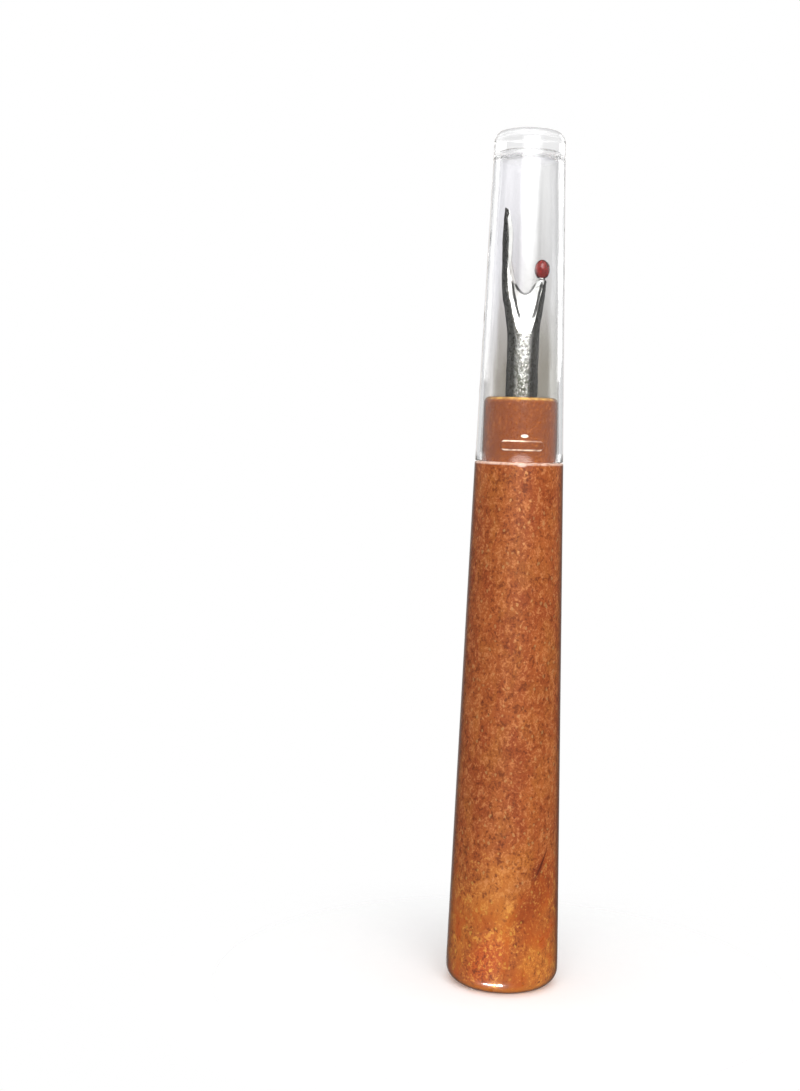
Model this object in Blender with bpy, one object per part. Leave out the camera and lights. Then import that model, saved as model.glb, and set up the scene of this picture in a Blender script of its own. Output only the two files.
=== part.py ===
"""Seam ripper with a clear push-on cap.

Four loose pieces, modelled standing on the butt of the handle, +Z along the
axis towards the cap. The long tine is on the -X side, the short one on +X.

  handle       moulded round handle, tapering, with the spigot (neck) for the cap
  fork_blade   round steel shank forged into a two-tine fork, tang inside the handle
  safety_ball  red bead that caps the short tine
  clear_cap    clear cap that slides off along +Z

All lengths below are millimetres; the meshes are in metres. Names in _Z are
heights above the butt face, names in _R are radii.
"""
import math

import bpy
import bmesh

MM = 0.001
OVERALL = 130.0            # butt face to cap end, cap on
ROUND_SEGMENTS = 64        # around the handle and the cap
BALL_SEGMENTS = 28
SHARP_DEG = 32.0           # edges steeper than this are shaded sharp
FORK_SHARP_DEG = 24.0

# ---------------------------------------------------------------- handle sizes
BUTT_FLAT_R = 6.0          # flat disc the handle stands on
BUTT_R = 8.65              # largest radius of the handle
BUTT_EDGE = 2.65           # rounding between the butt face and the side
SIDE_FRACTIONS = (0.33, 0.66, 1.0)   # rings up the tapering side
SHOULDER_Z = 80.5
SHOULDER_R = 6.72
SHOULDER_EDGE = 0.22

NECK_TOP_Z = 90.3
NECK_BASE_R = 5.70
NECK_TOP_R = 5.58
NECK_EDGE = 0.85

BORE_R = 2.44              # blind hole for the tang
BORE_Z = 71.6
BORE_CHAMFER = 0.15

CATCH_Z = SHOULDER_Z + 2.6  # centre of the raised catch bars
CATCH_W = 6.2
CATCH_H = 1.4
CATCH_R = 5.87             # outer surface of the bars
CATCH_RING_R = 5.2         # inner surface of the ring they are cut from, in the neck
CATCH_RING_HALF = 1.2      # half height of that ring
CATCH_CUT_NEAR = 4.0       # distances from the axis between which the
CATCH_CUT_FAR = 8.0        # bar outlines cut the ring

# ---------------------------------------------------------------- cap sizes
CAP_MOUTH_Z = 80.62
CAP_MOUTH_R = 6.66
CAP_MOUTH_BORE_R = 6.04
CAP_MOUTH_CHAMFER = 0.12
CAP_BORE_CHAMFER = 0.10
CAP_END_R = 5.33
CAP_EDGE = 1.75
CAP_FLOOR_Z = 127.0        # inner end of the cavity
CAP_FLOOR_R = 4.58
CAP_FLOOR_EDGE = 2.0

# ---------------------------------------------------------------- ball sizes
BALL_X = 2.53              # the peg on the short tine shares this centre
BALL_Z = 109.60
BALL_R = 1.15
BALL_UP = 1.42             # half height above the widest section
BALL_DOWN = 1.55           # half height of the oval that its lower part follows
BALL_RIM_R = 0.62
BALL_RIM_CHAMFER = 0.03
SOCKET_R = 0.54
SOCKET_STEP_Z = 109.03
SOCKET_PEG_R = 0.50
SOCKET_TOP_Z = 110.22

# ---------------------------------------------------------------- fork sizes
LONG, SHORT = -1, 1        # side of the axis, as the sign of x

SHANK_R = 2.38
TANG_Z = 72.0
TANG_CHAMFER_R = 0.35
TANG_CHAMFER_H = 0.4
SPREAD_Z = 98.0            # where the round shank starts to widen
PLANE_Z = 99.5             # where the flats planed into both faces start
THROAT_Z = 106.0           # lowest point of the sharp U between the tines
THROAT_HALF = 1.50         # half width of the U
THROAT_DEEP = 2.6          # height over which the U opens
THROAT_POWER = 1.7         # roundness of the U
LONG_OUT = 3.60            # outer edge of the long tine from the axis
SHORT_OUT = 3.25           # outer edge of the short tine
LONG_TIP_Z = 118.6
SHORT_END_Z = 107.82
PEG_R = 0.42
PEG_TOP_Z = 110.1

# Smooth ramps, each as (start, height it takes)
LONG_SPREAD = (SPREAD_Z, 11.0)
SHORT_SPREAD = (SPREAD_Z + 0.5, 10.0)
BLANK_THINNING = (100.0, 9.0)
FEATURE_BLEND = (PLANE_Z, 1.4)        # round spacing of points to spacing by flat and bevel
SHORT_ROUNDING = (106.6, 0.8)         # short tine's section turning oval
PEG_SHOULDER = (SHORT_END_Z, 0.33)    # short tine narrowing to its peg
LONG_FLARE = (1.2, 3.8)               # inner edges flaring, heights above the throat
SHORT_FLARE = (0.8, 1.1)

LONG_FLARE_X = 0.60        # how far the flares move the inner edges out
SHORT_FLARE_X = 0.36
BLANK_THIN = 0.78          # loss of half thickness up the blank

# Long tine's point, from TIP_Z to LONG_TIP_Z
TIP_Z = 115.0
TIP_LEAN = 0.24            # how far the outer edge leans in
TIP_INNER_TAPER = 0.66     # how far the inner edge moves out in the main taper
TIP_TAPER_POWER = 1.1
TIP_WIDTH = 0.12           # width left at the very end
TIP_NIB = 0.8              # fraction of the point where the final narrowing starts
TIP_NIB_POWER = 2.5

# Half thickness left by the flats: a parabola, then two straight runs
PLANE_SLOPE = 0.205
PLANE_CURVE = 0.0065
PLANE_CURVE_TOP_Z = 107.7
PLANE_BEND_Z = 110.0
PLANE_BEND_HALF = 0.93
PLANE_TIP_HALF = 0.34

EDGE_HALF = 0.08           # half thickness of the ground edge
EDGE_SAMPLES = 60          # steps along each side of the cutting edge
BEVEL_WIDTH = 0.62         # bevel along the tines
BEVEL_THROAT_EXTRA = 1.0   # added width at the throat
OVAL_HALF = 0.68           # half thickness of the short tine's oval section
OVAL_EDGE_HALF = 0.03      # half thickness of its inner edge

# Fork mesh: rows up each half, and points across a row
SHANK_ROWS = (TANG_Z, TANG_Z + TANG_CHAMFER_H, NECK_TOP_Z, SPREAD_Z)
WEB_ROWS = 12
THROAT_ROWS = 9
TINE_ROWS = 10
JOINED_ROWS = len(SHANK_ROWS) + WEB_ROWS   # rows in which the halves meet
SHOULDER_ROWS = (0.08, 0.17, 0.25)         # heights above SHORT_END_Z
ROW_TILT_Z = 99.0          # from here the outer ends of the rows drop below the inner
ROW_DROP = 1.6             # drop reached at the throat
ROUND_POINTS = 5
FLAT_POINTS = 1
BEVEL_POINTS = 2
ROW_POINTS = ROUND_POINTS + FLAT_POINTS + BEVEL_POINTS
# Limits on the fractions across a row where the flat and the bevel start
FLAT_START_MAX = 0.9
BEVEL_START_MAX = 0.96
FLAT_MIN = 0.04


# ---------------------------------------------------------------- helpers
def mix(a, b, t):
    return a + (b - a) * t


def smooth_step(t):
    t = min(max(t, 0.0), 1.0)
    return t * t * (3.0 - 2.0 * t)


def ramp(z, start, height):
    """Rise smoothly from 0 at start to 1 at start + height."""
    return smooth_step((z - start) / height)


def material(name, colour, roughness, metallic=0.0, transmission=0.0, ior=1.5, alpha=1.0):
    mat = bpy.data.materials.new(name)
    mat.use_nodes = True
    inputs = mat.node_tree.nodes["Principled BSDF"].inputs
    inputs["Base Color"].default_value = (*colour, 1.0)
    inputs["Roughness"].default_value = roughness
    inputs["Metallic"].default_value = metallic
    inputs["Transmission Weight"].default_value = transmission
    inputs["IOR"].default_value = ior
    inputs["Alpha"].default_value = alpha
    mat.diffuse_color = (*colour, alpha)
    return mat


def add_piece(bm, name, mat, root, origin=(0, 0, 0), sharp_deg=SHARP_DEG):
    """Turn bm, built about origin, into a shaded object under root."""
    bmesh.ops.recalc_face_normals(bm, faces=bm.faces)
    mesh = bpy.data.meshes.new(name)
    bm.to_mesh(mesh)
    bm.free()
    if mat is not None:
        mesh.materials.append(mat)
    mesh.shade_smooth()
    mesh.set_sharp_from_angle(angle=math.radians(sharp_deg))
    piece = bpy.data.objects.new(name, mesh)
    bpy.context.scene.collection.objects.link(piece)
    piece.location = [c * MM for c in origin]
    piece.parent = root
    return piece


def add_vert(bm, x, y, z):
    return bm.verts.new((x * MM, y * MM, z * MM))


def add_face(bm, verts):
    """Add a face, leaving out repeated vertices."""
    bm.faces.new(list(dict.fromkeys(verts)))


def arc(centre_r, centre_z, radius, start_deg, end_deg, steps, radius_z=None):
    """Points (r, z) along a circular or elliptical arc."""
    if radius_z is None:
        radius_z = radius
    angles = [math.radians(mix(start_deg, end_deg, i / steps)) for i in range(steps + 1)]
    return [(centre_r + radius * math.cos(a), centre_z + radius_z * math.sin(a))
            for a in angles]


def turned(profile, segments, origin_z=0.0, closed=False):
    """Revolve (r, z) points about the Z axis; r = 0 points become poles."""
    bm = bmesh.new()
    turns = [2 * math.pi * k / segments for k in range(segments)]
    rings = []
    for r, z in profile:
        if r < 1e-6:
            rings.append([add_vert(bm, 0, 0, z - origin_z)])
        else:
            rings.append([add_vert(bm, r * math.cos(a), r * math.sin(a), z - origin_z)
                          for a in turns])
    pairs = list(zip(rings, rings[1:]))
    if closed:
        pairs.append((rings[-1], rings[0]))
    for low, high in pairs:
        for k in range(segments):
            nxt = (k + 1) % segments
            add_face(bm, [low[k % len(low)], low[nxt % len(low)],
                          high[nxt % len(high)], high[k % len(high)]])
    return bm


# ---------------------------------------------------------------- handle
def handle_profile():
    side_top_z = SHOULDER_Z - SHOULDER_EDGE
    neck_edge_z = NECK_TOP_Z - NECK_EDGE
    pts = [(0.0, 0.0)]
    pts += arc(BUTT_FLAT_R, BUTT_EDGE, BUTT_EDGE, -90, 0, steps=7)
    pts += [(mix(BUTT_R, SHOULDER_R, t), mix(BUTT_EDGE, side_top_z, t))
            for t in SIDE_FRACTIONS]
    pts += arc(SHOULDER_R - SHOULDER_EDGE, side_top_z, SHOULDER_EDGE, 0, 90, steps=3)[1:]
    pts.append((NECK_BASE_R, SHOULDER_Z))
    pts += arc(NECK_TOP_R - NECK_EDGE, neck_edge_z, NECK_EDGE, 0, 90, steps=4)
    pts += [(BORE_R + BORE_CHAMFER, NECK_TOP_Z), (BORE_R, NECK_TOP_Z - BORE_CHAMFER),
            (BORE_R, BORE_Z), (0.0, BORE_Z)]
    return pts


def pill_prism(bm, sign):
    """Stadium-shaped bar outline in XZ, extruded outward along sign * Y."""
    end_r = CATCH_H / 2
    outline = arc(CATCH_W / 2 - end_r, 0.0, end_r, -90, 90, steps=8)
    outline += [(-x, -z) for x, z in outline]
    near, far = [[add_vert(bm, x, sign * y, CATCH_Z + z) for x, z in outline]
                 for y in (CATCH_CUT_NEAR, CATCH_CUT_FAR)]
    bm.faces.new(near)
    bm.faces.new(far[::-1])
    for i in range(len(outline)):
        nxt = (i + 1) % len(outline)
        bm.faces.new([near[i], far[i], far[nxt], near[nxt]])


def add_boolean(target, name, operation, tool):
    modifier = target.modifiers.new(name, 'BOOLEAN')
    modifier.operation = operation
    modifier.solver = 'EXACT'
    modifier.object = tool


def build_handle(root):
    """Turned handle, joined to two catch bars cut from a ring on the neck."""
    plastic = material("handle_plastic", colour=(0.46, 0.16, 0.065), roughness=0.25)

    outline_bm = bmesh.new()
    for sign in (-1, 1):
        pill_prism(outline_bm, sign)
    outline = add_piece(outline_bm, "catch_bar_outline", None, root)

    ring_low = CATCH_Z - CATCH_RING_HALF
    ring_high = CATCH_Z + CATCH_RING_HALF
    ring = [(CATCH_RING_R, ring_low), (CATCH_R, ring_low),
            (CATCH_R, ring_high), (CATCH_RING_R, ring_high)]
    bars = add_piece(turned(ring, ROUND_SEGMENTS, closed=True), "catch_bars_form", plastic, root)
    add_boolean(bars, "bar_outline", 'INTERSECT', outline)

    handle = add_piece(turned(handle_profile(), ROUND_SEGMENTS), "handle", plastic, root)
    add_boolean(handle, "catch_bars", 'UNION', bars)

    for helper in (outline, bars):
        helper.hide_render = True
        helper.display_type = 'WIRE'


# ---------------------------------------------------------------- clear cap
def cap_profile():
    """Outside from the closed end to the mouth, then the cavity back up."""
    edge_z = OVERALL - CAP_EDGE
    bore_z = CAP_MOUTH_Z + CAP_BORE_CHAMFER
    floor_edge_z = CAP_FLOOR_Z - CAP_FLOOR_EDGE
    pts = [(0.0, OVERALL)]
    pts += arc(CAP_END_R - CAP_EDGE, edge_z, CAP_EDGE, 90, 0, steps=6)
    pts += [(mix(CAP_END_R, CAP_MOUTH_R, 0.5), mix(edge_z, CAP_MOUTH_Z, 0.5)),
            (CAP_MOUTH_R, CAP_MOUTH_Z + CAP_MOUTH_CHAMFER),
            (CAP_MOUTH_R - CAP_MOUTH_CHAMFER, CAP_MOUTH_Z),
            (CAP_MOUTH_BORE_R + CAP_BORE_CHAMFER, CAP_MOUTH_Z),
            (CAP_MOUTH_BORE_R, bore_z),
            (mix(CAP_MOUTH_BORE_R, CAP_FLOOR_R, 0.5), mix(bore_z, floor_edge_z, 0.5))]
    pts += arc(CAP_FLOOR_R - CAP_FLOOR_EDGE, floor_edge_z, CAP_FLOOR_EDGE, 0, 90, steps=6)
    pts.append((0.0, CAP_FLOOR_Z))
    return pts


def build_cap(root):
    clear = material("clear_plastic", colour=(0.92, 0.93, 0.92), roughness=0.05,
                     transmission=1.0, ior=1.57, alpha=0.35)
    bm = turned(cap_profile(), ROUND_SEGMENTS, origin_z=CAP_MOUTH_Z)
    add_piece(bm, "clear_cap", clear, root, origin=(0, 0, CAP_MOUTH_Z))


# ---------------------------------------------------------------- fork outline
def shank_radius(z):
    """Radius of the round shank, chamfered at the end of the tang."""
    return SHANK_R - TANG_CHAMFER_R * max(0.0, 1.0 - (z - TANG_Z) / TANG_CHAMFER_H)


def tip_fraction(z):
    return max(0.0, (z - TIP_Z) / (LONG_TIP_Z - TIP_Z))


def outer_edge(side, z):
    """Distance of the fork's outer edge from the axis."""
    r = shank_radius(z)
    if side == LONG:
        x = r + (LONG_OUT - SHANK_R) * ramp(z, *LONG_SPREAD)
        return x - TIP_LEAN * tip_fraction(z) ** 2
    x = r + (SHORT_OUT - SHANK_R) * ramp(z, *SHORT_SPREAD)
    return mix(x, BALL_X + PEG_R, ramp(z, *PEG_SHOULDER))


def inner_edge(side, z):
    """Distance of the inner (cutting) edge from the axis, at or above the throat."""
    rise = z - THROAT_Z
    closing = max(0.0, 1.0 - rise / THROAT_DEEP)
    x = THROAT_HALF * math.sqrt(max(0.0, 1.0 - closing ** THROAT_POWER))
    if side == LONG:
        x += LONG_FLARE_X * ramp(rise, *LONG_FLARE)
        tip = tip_fraction(z)
        nib = max(0.0, (tip - TIP_NIB) / (1.0 - TIP_NIB))
        # what is left to remove at the end for the point to be TIP_WIDTH wide
        nib_x = (LONG_OUT - TIP_LEAN - TIP_WIDTH
                 - (THROAT_HALF + LONG_FLARE_X) - TIP_INNER_TAPER)
        return x + TIP_INNER_TAPER * tip ** TIP_TAPER_POWER + nib_x * nib ** TIP_NIB_POWER
    x += SHORT_FLARE_X * ramp(rise, *SHORT_FLARE)
    return mix(x, BALL_X - PEG_R, ramp(z, *PEG_SHOULDER))


def edge_line():
    """Samples (x, z) up the cutting edge of each tine, closest together at the throat."""
    pts = []
    for side, top in ((LONG, LONG_TIP_Z), (SHORT, SHORT_END_Z)):
        for i in range(EDGE_SAMPLES + 1):
            z = THROAT_Z + (top - THROAT_Z) * (i / EDGE_SAMPLES) ** 2
            pts.append((side * inner_edge(side, z), z))
    return pts


EDGE_LINE = edge_line()


# ---------------------------------------------------------------- fork thickness
def round_half(side, x, z):
    """Half thickness of the forged blank, an ellipse across the fork."""
    centre_half = shank_radius(z) - BLANK_THIN * ramp(z, *BLANK_THINNING)
    across = abs(x) / outer_edge(side, z)
    return centre_half * math.sqrt(max(0.0, 1.0 - across ** 2))


def planed_half(z):
    """Half thickness left by the flat planed into both faces of the fork."""
    rise = max(0.0, min(z, PLANE_CURVE_TOP_Z) - PLANE_Z)
    half = SHANK_R - PLANE_SLOPE * rise + PLANE_CURVE * rise * rise
    if z < PLANE_CURVE_TOP_Z:
        return half
    if z < PLANE_BEND_Z:
        t = (z - PLANE_CURVE_TOP_Z) / (PLANE_BEND_Z - PLANE_CURVE_TOP_Z)
        return mix(half, PLANE_BEND_HALF, t)
    t = (z - PLANE_BEND_Z) / (LONG_TIP_Z - PLANE_BEND_Z)
    return mix(PLANE_BEND_HALF, PLANE_TIP_HALF, t)


def ground_half(x, z):
    """Half thickness allowed by the bevel ground along the cutting edge."""
    edge_x, edge_z = min(EDGE_LINE, key=lambda p: (p[0] - x) ** 2 + (p[1] - z) ** 2)
    distance = math.hypot(edge_x - x, edge_z - z)
    width = BEVEL_WIDTH + BEVEL_THROAT_EXTRA * math.exp(-(edge_z - THROAT_Z) ** 2)
    return EDGE_HALF + distance * (planed_half(edge_z) - EDGE_HALF) / width


# ---------------------------------------------------------------- fork mesh
def fork_rows(side):
    """Rows (z_outer, x_inner, z_inner) of one half of the fork, tang first."""
    rows = [(z, 0.0, z) for z in SHANK_ROWS]
    for i in range(1, WEB_ROWS + 1):
        z = mix(SPREAD_Z, THROAT_Z, i / WEB_ROWS)
        drop = ROW_DROP * ramp(z, ROW_TILT_Z, THROAT_Z - ROW_TILT_Z)
        rows.append((z - drop, 0.0, z))
    for i in range(1, THROAT_ROWS + 1):
        t = i / THROAT_ROWS
        z = THROAT_Z + (SHORT_END_Z - THROAT_Z) * t * t
        rows.append((mix(THROAT_Z - ROW_DROP, SHORT_END_Z, t), side * inner_edge(side, z), z))
    if side == LONG:
        level = [mix(SHORT_END_Z, LONG_TIP_Z, i / TINE_ROWS) for i in range(1, TINE_ROWS + 1)]
    else:
        peg_foot = sum(PEG_SHOULDER)
        level = [SHORT_END_Z + rise for rise in SHOULDER_ROWS]
        level += [peg_foot, mix(peg_foot, PEG_TOP_Z, 0.5), PEG_TOP_Z]
    rows += [(z, side * inner_edge(side, z), z) for z in level]
    return rows


def bisect(fn, low, high):
    """Find the sign change of fn between low (positive) and high."""
    for _ in range(30):
        middle = 0.5 * (low + high)
        if fn(middle) > 0:
            low = middle
        else:
            high = middle
    return 0.5 * (low + high)


def feature_fractions(side, at):
    """Fractions across a row that follow its round side, flat and bevel."""
    def below_plane(f):
        x, z = at(f)
        return planed_half(z) - round_half(side, x, z)

    def outside_bevel(f):
        x, z = at(f)
        return ground_half(x, z) - planed_half(z)

    flat = FLAT_START_MAX
    if below_plane(1.0) < 0:
        flat = min(bisect(below_plane, 0.0, 1.0), FLAT_START_MAX)
    bevel = bisect(outside_bevel, flat, 1.0) if outside_bevel(flat) > 0 else flat
    bevel = min(max(bevel, flat + FLAT_MIN), BEVEL_START_MAX)
    return ([flat * (1.0 - math.cos(0.5 * math.pi * j / ROUND_POINTS))
             for j in range(ROUND_POINTS)]
            + [mix(flat, bevel, j / FLAT_POINTS) for j in range(FLAT_POINTS)]
            + [mix(bevel, 1.0, j / BEVEL_POINTS) for j in range(BEVEL_POINTS + 1)])


def row_points(side, row):
    """Points (x, z, half thickness) across one row, outer edge first."""
    z_outer, x_inner, z_inner = row
    x_outer = side * outer_edge(side, z_outer)

    def at(f):
        return mix(x_outer, x_inner, f), mix(z_outer, z_inner, f)

    steps = range(ROW_POINTS + 1)
    fractions = [1.0 - math.cos(0.5 * math.pi * k / ROW_POINTS) for k in steps]
    weight = ramp(z_inner, *FEATURE_BLEND)
    if weight > 0:
        fractions = [mix(a, b, weight)
                     for a, b in zip(fractions, feature_fractions(side, at))]
    rounding = ramp(z_outer, *SHORT_ROUNDING) if side == SHORT else 0.0
    if rounding > 0:
        oval = [0.5 * (1.0 - math.cos(math.pi * k / ROW_POINTS)) for k in steps]
        fractions = [mix(a, b, rounding) for a, b in zip(fractions, oval)]

    pts = [(*at(fractions[0]), 0.0)]
    for k, f in enumerate(fractions[1:], start=1):
        x, z = at(f)
        inner_end = k == ROW_POINTS
        if inner_end and z_inner >= THROAT_Z:
            half = EDGE_HALF
        else:
            half = min(round_half(side, x, z), planed_half(z), ground_half(x, z))
        if rounding > 0:
            full = mix(OVAL_HALF, PEG_R, ramp(z, *PEG_SHOULDER))
            oval_half = full * math.sqrt(max(0.0, 1.0 - (2 * f - 1) ** 2))
            half = mix(half, OVAL_EDGE_HALF if inner_end else oval_half, rounding)
        pts.append((x, z, half))
    return pts


def fork_half_grid(bm, side, joined=()):
    """Vertices of one half as (front, back) rows, front on the -Y side.

    The rows in joined, from the other half, lend their centre vertices.
    """
    grid = []
    for j, row in enumerate(fork_rows(side)):
        pts = [(x, half, z - NECK_TOP_Z) for x, z, half in row_points(side, row)]
        if j < len(joined):
            pts.pop()
        front = [add_vert(bm, x, -half, z) for x, half, z in pts]
        back = front[:1] + [add_vert(bm, x, half, z) for x, half, z in pts[1:]]
        if j < len(joined):
            front.append(joined[j][0][-1])
            back.append(joined[j][1][-1])
        grid.append((front, back))
    return grid


def skin_fork_half(bm, grid):
    for j in range(len(grid) - 1):
        (f0, b0), (f1, b1) = grid[j], grid[j + 1]
        for k in range(ROW_POINTS):
            bm.faces.new([f0[k], f0[k + 1], f1[k + 1], f1[k]])
            bm.faces.new([b1[k], b1[k + 1], b0[k + 1], b0[k]])
        # the cutting edge's own narrow land, from the throat to the end of the tine
        if j >= JOINED_ROWS - 1:
            bm.faces.new([f0[-1], b0[-1], b1[-1], f1[-1]])
    # end of the tine
    front, back = grid[-1]
    for k in range(ROW_POINTS):
        add_face(bm, [front[k], front[k + 1], back[k + 1], back[k]])


def build_fork(root):
    steel = material("polished_steel", colour=(0.62, 0.62, 0.60), roughness=0.2, metallic=1.0)
    bm = bmesh.new()
    long_half = fork_half_grid(bm, LONG)
    short_half = fork_half_grid(bm, SHORT, joined=long_half[:JOINED_ROWS])
    for grid in (long_half, short_half):
        skin_fork_half(bm, grid)
    # end of the tang
    long_front, long_back = long_half[0]
    short_front, short_back = short_half[0]
    bm.faces.new(long_front + short_front[::-1][1:] + short_back[1:] + long_back[::-1][1:-1])
    add_piece(bm, "fork_blade", steel, root, origin=(0, 0, NECK_TOP_Z),
              sharp_deg=FORK_SHARP_DEG)


# ---------------------------------------------------------------- safety ball
def ball_profile():
    """Outside from the top down to the rim, then the stepped socket."""
    rim_angle = math.degrees(math.acos(BALL_RIM_R / BALL_R))
    pts = arc(0.0, BALL_Z, BALL_R, 90, 0, steps=8, radius_z=BALL_UP)
    pts += arc(0.0, BALL_Z, BALL_R, 0, -rim_angle, steps=5, radius_z=BALL_DOWN)[1:]
    bottom_z = pts[-1][1] - BALL_RIM_CHAMFER
    pts += [(BALL_RIM_R - BALL_RIM_CHAMFER, bottom_z), (SOCKET_R, bottom_z),
            (SOCKET_R, SOCKET_STEP_Z), (SOCKET_PEG_R, SOCKET_STEP_Z),
            (SOCKET_PEG_R, SOCKET_TOP_Z), (0.0, SOCKET_TOP_Z)]
    return pts


def build_ball(root):
    red = material("red_plastic", colour=(0.30, 0.016, 0.010), roughness=0.15)
    bm = turned(ball_profile(), BALL_SEGMENTS, origin_z=BALL_Z)
    add_piece(bm, "safety_ball", red, root, origin=(BALL_X, 0, BALL_Z))


def main():
    for old in list(bpy.data.objects):
        bpy.data.objects.remove(old, do_unlink=True)
    root = bpy.data.objects.new("seam_ripper", None)
    root.empty_display_size = 0.01
    bpy.context.scene.collection.objects.link(root)
    build_handle(root)
    build_fork(root)
    build_ball(root)
    build_cap(root)


main()
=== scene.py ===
import math

import bpy
import bmesh
import numpy as np
from mathutils import Matrix, Vector


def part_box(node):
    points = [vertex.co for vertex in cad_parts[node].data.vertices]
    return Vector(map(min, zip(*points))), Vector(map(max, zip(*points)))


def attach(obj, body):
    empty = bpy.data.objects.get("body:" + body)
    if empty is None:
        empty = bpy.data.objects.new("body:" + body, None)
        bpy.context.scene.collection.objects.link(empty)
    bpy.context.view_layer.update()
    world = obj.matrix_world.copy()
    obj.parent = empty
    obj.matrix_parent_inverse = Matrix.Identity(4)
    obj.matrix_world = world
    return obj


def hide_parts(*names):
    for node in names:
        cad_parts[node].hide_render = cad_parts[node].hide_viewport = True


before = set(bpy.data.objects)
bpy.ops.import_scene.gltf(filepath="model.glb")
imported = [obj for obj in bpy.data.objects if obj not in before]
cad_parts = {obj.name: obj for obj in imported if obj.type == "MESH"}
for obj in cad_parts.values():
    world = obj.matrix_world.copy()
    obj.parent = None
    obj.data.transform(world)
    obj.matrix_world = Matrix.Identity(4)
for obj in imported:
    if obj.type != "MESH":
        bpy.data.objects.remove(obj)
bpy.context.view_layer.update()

MM = 0.001
LOW = {n: [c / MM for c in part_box(n)[0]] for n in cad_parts}
HIGH = {n: [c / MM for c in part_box(n)[1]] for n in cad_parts}

# ------------------------------------------------------------------ sizes, tied to the frame
OVERALL = HIGH["clear_cap"][2]
BUTT_R = HIGH["handle"][0]
BUTT_FLAT_R = 6.0
BUTT_EDGE = 2.65
SHOULDER_Z = 80.5
SHOULDER_R = 6.72
SHOULDER_EDGE = 0.22
NECK_TOP_Z = HIGH["handle"][2]
NECK_BASE_R = 5.70
NECK_TOP_R = 5.58
NECK_EDGE = 0.85
CATCH_Z = SHOULDER_Z + 2.6
CATCH_W = 6.2
CATCH_H = 1.4
CATCH_R = 5.87
BORE_R = 2.44
BORE_Z = 71.6

CAP_MOUTH_Z = LOW["clear_cap"][2]
CAP_MOUTH_R = 6.66
CAP_MOUTH_BORE_R = 6.04
CAP_END_R = 5.33
CAP_EDGE = 1.75
CAP_FLOOR_Z = 127.0
CAP_FLOOR_R = 4.58
CAP_FLOOR_EDGE = 2.0

SHANK_R = 2.38
TANG_Z = LOW["fork_blade"][2]
SPREAD_Z = 98.0
PLANE_Z = 99.5
THROAT_Z = 106.0
THROAT_HALF = 1.50
THROAT_DEEP = 2.6
EDGE_HALF = 0.06
LONG_OUT = 3.60
BALL_OUT = 3.25
LONG_TIP_Z = HIGH["fork_blade"][2]
SHORT_END_Z = 107.82
PEG_R = 0.42
PEG_TOP_Z = 110.1
HOLLOW_Z = 100.9          # lowest point of the hollow ground between the rims
HOLLOW_DEEP = 0.12

BALL_X = 2.53
BALL_Z = 109.60
BALL_R = 1.15
BALL_UP = 1.42
BALL_DOWN = 1.55
BALL_RIM_R = 0.62
SOCKET_R = 0.54
SOCKET_STEP_Z = 109.03
SOCKET_PEG_R = 0.50
SOCKET_TOP_Z = 110.22


# ------------------------------------------------------------------ small helpers
def smooth_step(u):
    u = min(max(u, 0.0), 1.0)
    return u * u * (3.0 - 2.0 * u)


def mix(a, b, t):
    return a + (b - a) * t


def soft_min(a, b, k):
    h = max(k - abs(a - b), 0.0) / k
    return min(a, b) - h * h * k * 0.25


def arc(cx, cz, radius, start_deg, end_deg, steps, radius_z=None):
    rz = radius if radius_z is None else radius_z
    out = []
    for i in range(steps + 1):
        a = math.radians(start_deg + (end_deg - start_deg) * i / steps)
        out.append((cx + radius * math.cos(a), cz + rz * math.sin(a)))
    return out


def line(p, q, steps):
    """Points after p up to and including q."""
    return [(mix(p[0], q[0], i / steps), mix(p[1], q[1], i / steps))
            for i in range(1, steps + 1)]


def mesh_object(name, verts, faces, mat, sharp_deg):
    mesh = bpy.data.meshes.new(name)
    mesh.from_pydata([tuple(c * MM for c in v) for v in verts], [], faces)
    mesh.validate()
    bm = bmesh.new()
    bm.from_mesh(mesh)
    bmesh.ops.recalc_face_normals(bm, faces=bm.faces)
    bm.to_mesh(mesh)
    bm.free()
    mesh.materials.append(mat)
    mesh.shade_smooth()
    mesh.set_sharp_from_angle(angle=math.radians(sharp_deg))
    ob = bpy.data.objects.new(name, mesh)
    bpy.context.scene.collection.objects.link(ob)
    return ob


def turned(profile, segments, centre=(0.0, 0.0), push=None):
    """Vertices and faces of a closed turned form. push(x, z, r) may raise the radius."""
    verts, rings, faces = [], [], []
    for r, z in profile:
        ring = []
        if r < 1e-6:
            ring.append(len(verts))
            verts.append((centre[0], centre[1], z))
        else:
            for k in range(segments):
                a = 2 * math.pi * k / segments
                ca, sa = math.cos(a), math.sin(a)
                rr = r + (push(r * ca, r * sa, z, r) if push else 0.0)
                ring.append(len(verts))
                verts.append((centre[0] + rr * ca, centre[1] + rr * sa, z))
        rings.append(ring)
    for lo, hi in zip(rings, rings[1:]):
        for k in range(segments):
            k2 = (k + 1) % segments
            quad = []
            for v in (lo[k % len(lo)], lo[k2 % len(lo)], hi[k2 % len(hi)], hi[k % len(hi)]):
                if v not in quad:
                    quad.append(v)
            if len(quad) > 2:
                faces.append(quad)
    return verts, faces


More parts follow.
